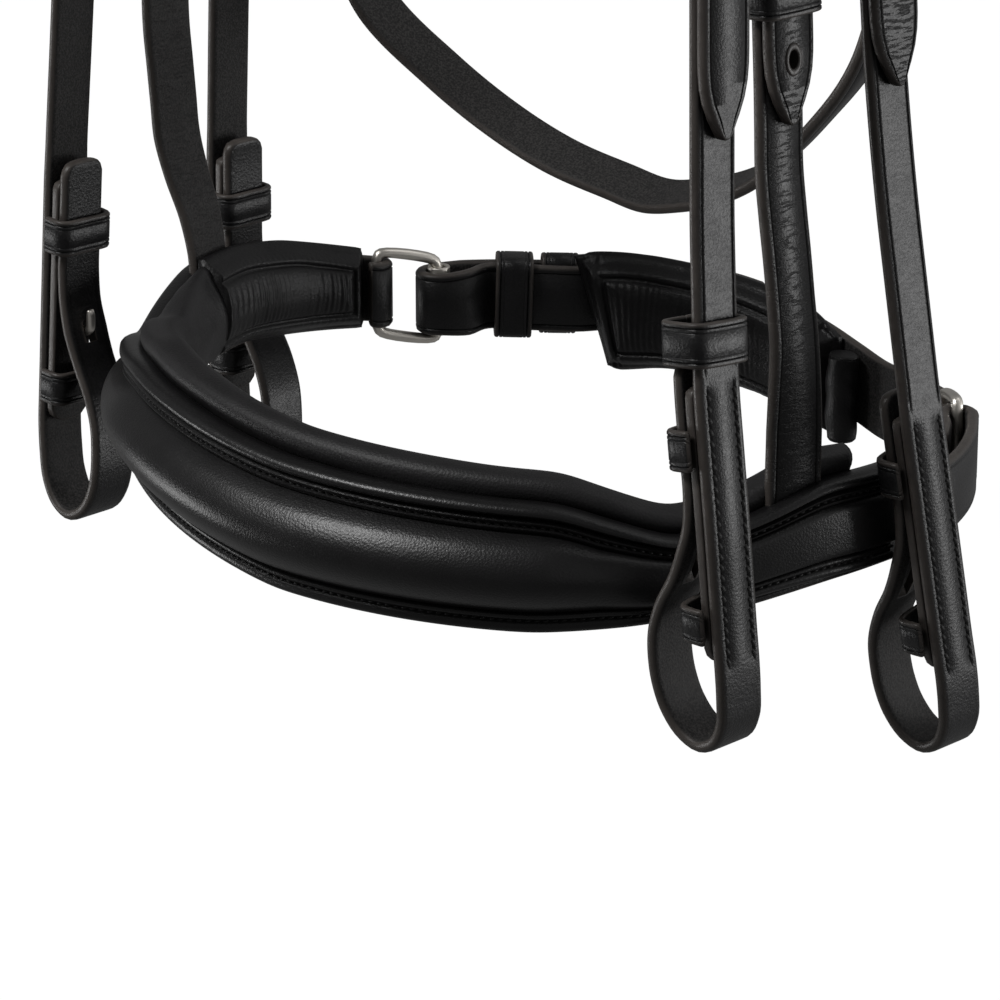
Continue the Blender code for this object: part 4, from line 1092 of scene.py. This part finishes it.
def puffed(item, cap):
    """Cloth pressure on a pad's shell, each point moved at most cap."""
    start = points_of(item)
    only(item)
    bpy.ops.object.modifier_add(type="CLOTH")
    puff = item.modifiers[-1]
    puff.settings.use_pressure = True
    puff.settings.uniform_pressure_force = 4
    puff.settings.effector_weights.gravity = 0
    puff.collision_settings.use_collision = False
    puff.point_cache.frame_start, puff.point_cache.frame_end = 1, 20
    for step in range(1, 21):
        bpy.context.scene.frame_set(step)
    bpy.ops.object.modifier_apply(modifier=puff.name)
    moved = points_of(item) - start
    far = np.linalg.norm(moved, axis=1, keepdims=True)
    set_points(item, start + moved * np.minimum(1, cap / np.maximum(far, 1e-9)))
    bpy.context.scene.frame_set(1)
    only(item)
    bpy.ops.object.shade_smooth()
    return item


def rounded(spots, count):
    """A closed outline read as one smooth curve of even points."""
    path = Route([(a, b, 0, 1) for a, b in spots], (0, 0, 1), closed=True)
    s = np.linspace(0, path.length, count, endpoint=False)
    return [(x, y) for x, y, _ in path.place(s, 0 * s, 0 * s)]


def lining_profile(angle, share):
    """The lining's section: a full tube over the rim, thinning at its off end to the arm pad's upper edge."""
    flat = min(1, max(0, (-148 - angle) / 13)) ** 1.5
    top, low = value_at(NOSE_TOP, angle) + .0058 - .0020 * flat, value_at(NOSE_LOW, angle) + .0012 - .0016 * flat
    end = min(1, 12 * (1 - share) + .45)
    face = -LEATHER_T / 2 - CLEAR
    deep = face - .0086 * end
    middle = (face + deep) / 2
    over = 1 - flat
    return rounded([(face, low + .0022), (face, (top + low) / 2), (face + .0001, top - .0068),
                    (face + .0014 * over, top - .0040), (face + .0011 * over, top - .0017),
                    (middle + .0010 + .0012 * flat, top - .0002),
                    (middle - .0016 + .0022 * flat, top - .0004 - .0006 * flat),
                    (deep + .0006 + .0030 * flat, top - .0028 - .0008 * flat), (deep + .0008 * flat, top - .0085),
                    (deep - .0004, (top + low) / 2), (deep + .0006 + .0012 * flat, low + .0034),
                    (middle + .0008 * flat, low + .0002)], 44)


def pad_profile(top, low, thick, start, stop, lifted=180):
    """A pad's section: flat behind, rising from thin edges to its full middle."""
    def profile(angle, _):
        high, base = value_at(top, angle), value_at(low, angle)
        ends = min(angle - start, stop - angle) * RING_STEP
        face = -LEATHER_T / 2 - CLEAR - .0011 * min(1, max(0, (angle - lifted) / 2))
        spots = [(face, base + .0003)] + [(face, base + (high - base) * u) for u in (.2, .4, .6, .8)]
        spots.append((face, high - .0003))
        for u in np.linspace(0, 1, 58):
            border = max(0, min(ends, (high - base) * min(u, 1 - u)))
            rise = (thick - PAD_EDGE) * (1 - np.exp(-(border / .0030) ** 1.2))
            spots.append((face - PAD_EDGE - rise, high - (high - base) * u))
        return spots
    return profile


def ring_places(found):
    """Angle round the noseband, height over RING_LOW and unit outward direction of each point."""
    angle = np.degrees(np.arctan2((found[:, 1] - RING_SHIFT[1]) / RING_Y, (found[:, 0] - RING_SHIFT[0]) / RING_X))
    a = np.radians(angle)
    out = np.stack([np.cos(a) / RING_X, np.sin(a) / RING_Y, 0 * a], 1)
    return angle, found[:, 2] - RING_LOW, out / np.linalg.norm(out, axis=1, keepdims=True)


def hump(value, middle, width):
    return np.exp(-((value - middle) / width) ** 2)


def sewn_pad(node, start, stop, top, low, slant=0, open_end=False):
    """A pad with a piped frame, a sunk seam inside it and a creased, puffed middle."""
    item = ring_shell(node + "_leather", start, stop, int((stop - start) * 5), pad_profile(
        top, low, .0085, start, stop + (20 if open_end else 0), 999 if open_end else 125.5))
    puffed(item, .0007)
    found = points_of(item)
    angle, height, out = ring_places(found)
    angle = np.where(angle < 0, angle + 360, angle) if stop > 180 else angle
    tops, lows = value_at(top, angle), value_at(low, angle)
    far = (stop - angle) * RING_STEP + (.1 if open_end else 0)
    border = np.minimum(np.minimum(tops - height, height - lows), np.minimum((angle - start) * RING_STEP, far))
    inward = np.clip(-(normals_of(item) * out).sum(1) * 1.6 - .3, 0, 1)
    along_ring = angle * RING_STEP
    middle = 1 / (1 + np.exp(-(border - .0064) / .0004))
    sway = .0004 * np.sin(height / .0050 + along_ring / .0100)
    folds = np.sin((along_ring + sway) / .00029) * (.50 + .50 * np.sin(along_ring / .0047))
    folds += .6 * np.sin((along_ring - sway) / .00046 + 1.0) * (.50 + .50 * np.sin(along_ring / .0061 + 2.0))
    fine_folds = np.sin((along_ring + sway) / .00034) * hump(border, .0038, .0012)
    deep = -.0012 * hump(border, .0056, .00055) - .0006 * hump(border, .0016, .00028)
    deep += .0004 * hump(border, .0008, .0004)
    deep += .0006 * hump(border, .0036, .0012) + .00004 * fine_folds
    deep += middle * (.0011 * hump(border, .0125, .0052) + .00013 * folds)
    found = found - out * (deep * inward)[:, None]
    if slant:
        share = np.clip((angle - (stop - 9)) / 9, 0, 1) * ((height - lows) / (tops - lows) - .35)
        a = np.radians(angle)
        ahead = np.stack([-np.sin(a) * RING_X, np.cos(a) * RING_Y, 0 * a], 1)
        found = found + ahead / np.linalg.norm(ahead, axis=1, keepdims=True) * (share * slant)[:, None]
    set_points(item, found)
    dress(item, PAD, [node])
    return item


def make_jaw_roll():
    """The jaw pad's near end, rolled over into an upright roll of wrinkled leather."""
    rows = [(*ring_point(81.5, -.0062, z), .002) for z in np.linspace(-.0030, .0205, 9)]
    route = Route(rows, (1, 0, 0))
    bpy.ops.object.select_all(action="DESELECT")
    bpy.ops.mesh.primitive_cylinder_add(vertices=40, radius=.0040, depth=route.length)
    item = fresh("jaw_pad_roll")
    edit_mode(True)
    choose(item, "FACE", lambda face: abs(face.normal.z) > .9)
    bpy.ops.mesh.inset(thickness=.0012)
    bpy.ops.transform.resize(value=(1, 1, 1.03))
    choose(item, "EDGE", lambda edge: abs(edge.verts[0].co.z - edge.verts[1].co.z) > route.length * .8)
    bpy.ops.mesh.subdivide(number_cuts=44)
    choose(item, "EDGE", lambda edge: all(abs(abs(v.co.z) - route.length / 2) < 1e-5 for v in edge.verts)
           and all(hypot(v.co.x, v.co.y) > .0039 for v in edge.verts))
    bpy.ops.mesh.bevel(offset=.0009, segments=3, affect="EDGES")
    edit_mode(False)
    found = points_of(item)
    turn = np.arctan2(found[:, 1], found[:, 0])
    swell = 1 + .05 * np.sin(found[:, 2] / .0016 + 2 * np.sin(turn)) + .16 * np.cos(pi * found[:, 2] / route.length)
    set_points(item, route.place(found[:, 2] + route.length / 2, found[:, 0] * swell, found[:, 1] * swell * .85))
    only(item)
    bpy.ops.object.shade_smooth()
    dress(item, PAD)


def make_pads():
    sewn_pad("off_arm_pad", 163.4, 197.4, ARM_TOP, ARM_LOW, open_end=True)
    sewn_pad("jaw_pad", 84, 126.0, JAW_TOP, JAW_LOW, .0096)
    make_jaw_roll()
    lining = puffed(ring_shell("nose_lining_leather", -162.5, -5, 190, lining_profile), .0005)
    dress(lining, LINING, ["nose_lining"])
    crown = merged_copy("crown_pad", "crown_pad_leather")
    apply_new(crown, "REMESH", mode="VOXEL", voxel_size=.0036)
    puffed(crown, .0020)
    apply_new(crown, "SUBSURF", levels=1, render_levels=1)
    dress(crown, LINING, ["crown_pad"])


# Throatlash and browband --------------------

def make_throatlash():
    halves = []
    for side, table in ((1, THROAT_NEAR), (-1, THROAT_OFF)):
        half = arch_rows(side, .0170, None, -LEATHER_T - CLEAR, THROAT_W, .0665, CROWN_END + .002)
        for x, y, z in table:
            half.append((x * side, y, z + RING_LOW, THROAT_W, (0, 1, .4 * min(1, max(0, (.40 - z) / .3)))))
        halves.append(half)
    x, y, z = THROAT_LOW
    route = Route(halves[0] + [(x, y, z + RING_LOW, THROAT_W, (0, 1, .4))] + halves[1][::-1])
    dress(laid_strap("throatlash_leather", route), LEATHER, ["throatlash"])


def make_browband():
    for side, name, table in ((1, "near", NEAR_CHEEK), (-1, "off", OFF_CHEEK)):
        down = arch_rows(side, POINT_Y[0], table, LEATHER_T + CLEAR, POINT_W, .0595)
        low = min(range(len(down)), key=lambda i: abs(down[i][2] - BROW_AT))
        here, after = Vector(down[low][:3]), Vector(down[low + 1][:3])
        share = (BROW_AT - here.z) / (after.z - here.z)
        way = (here - after).normalized()
        out = Vector((way.z, 0, -way.x)).normalized() * side
        wide = (Vector((0, 1, 0)) - way * way.y).normalized()
        center = here.lerp(after, share)
        band(name + "_brow_loop", center, out, wide, LEATHER_T / 2 + CLEAR, POINT_W / 2 + 3 * CLEAR, BROW_W)
    front = center.y - POINT_W / 2 - 3 * CLEAR - .0016 - .0024
    reach = abs(center.x)
    rows = []
    for a in range(90, -91, -10):
        x, y = reach * sin(radians(a)), front - BROW_REACH * cos(radians(a))
        rows.append((x, y, BROW_AT - .008 * cos(radians(a)), BROW_W * (1 - .12 * (abs(x) > reach * .97))))
    route = Route(rows, (0, 0, 1))
    brow = laid_strap("browband_leather", route, LEATHER_T * 1.6, -1,
                      ((.0016, .0003, .0003), (BROW_STITCH_IN, .0004, .0005)), .0012)
    dress(brow, LEATHER, ["browband"])
    rows = [stitch_row("brow_thread", route, .006, route.length - .006, side * (BROW_W / 2 - BROW_STITCH_IN),
                       -LEATHER_T * .8, .0026, .0021, .0006, 10 * side) for side in (-1, 1)]
    dress(joined("browband_stitches", rows), THREAD)


# Studio --------------------

def set_camera():
    bpy.ops.object.camera_add(location=CAMERA_AT)
    camera = bpy.context.object
    camera.rotation_euler = (Vector(LOOK_AT) - Vector(CAMERA_AT)).to_track_quat("-Z", "Y").to_euler()
    camera.data.lens = LENS
    camera.data.sensor_width = 36
    camera.data.clip_end = 30
    bpy.context.scene.camera = camera


def lamp(name, place, size, power):
    bpy.ops.object.light_add(type="AREA", location=place)
    light = bpy.context.object
    light.name = name
    light.data.size = size
    light.data.energy = power
    light.visible_camera = False
    light.rotation_euler = (Vector((0, 0, -.45)) - Vector(place)).to_track_quat("-Z", "Y").to_euler()


def make_studio():
    """A pale floor and surroundings that light the leather from its near side, and four soft lamps."""
    bpy.ops.mesh.primitive_circle_add(vertices=64, radius=9, fill_type="NGON", location=(0, 0, -1.45))
    floor = bpy.context.object
    floor.name = "studio_floor"
    bpy.ops.object.transform_apply(location=True, rotation=True, scale=True)
    f = Finish("studio_floor")
    f.put(Base_Color=(.14, .14, .14, 1), Roughness=.9)
    glow = f.node("ShaderNodeEmission", sockets={"Color": (1, 1, 1, 1), "Strength": 1.12})
    mixed = f.node("ShaderNodeMixShader", sockets={
        0: f.pale(PALE_MIRRORED) * .90, 1: Value(f, f.shader.outputs[0]), 2: glow})
    f.feed(f.tree.nodes["Material Output"].inputs["Surface"], mixed)
    floor.data.materials.append(f.material)
    world = bpy.context.scene.world or bpy.data.worlds.new("studio")
    bpy.context.scene.world = world
    world.use_nodes = True
    w = Nodes(world.node_tree)
    slope = w.node("ShaderNodeVectorMath", {"operation": "DOT_PRODUCT"}, {
        0: w.node("ShaderNodeTexCoord", output="Generated"), 1: Vector((.76, .62, .12)).normalized()}, "Value")
    level = w.node("ShaderNodeMapRange", {"interpolation_type": "SMOOTHSTEP"}, {
        "Value": slope, "From Min": .20, "From Max": .97, "To Min": .08, "To Max": .60})
    share = w.pale(PALE_MIRRORED)
    back = w.tree.nodes["Background"]
    back.inputs["Color"].default_value = (1, 1, 1, 1)
    w.feed(back.inputs["Strength"], level * (1 - share) + share)
    lamp("right_lamp", (1.15, 1.04, -.66), .66, 14)
    lamp("edge_lamp", (-1.20, -.76, -.80), .5, 6)
    lamp("swell_lamp", (-.36, -.92, .66), .42, 19)
    lamp("top_lamp", (.4, .6, 1.1), .9, 3.2)
    bpy.context.scene.view_settings.view_transform = "Standard"


set_camera()
make_sides(make_crown())
make_runners()
make_noseband()
make_crank()
make_pads()
make_throatlash()
make_browband()
make_studio()
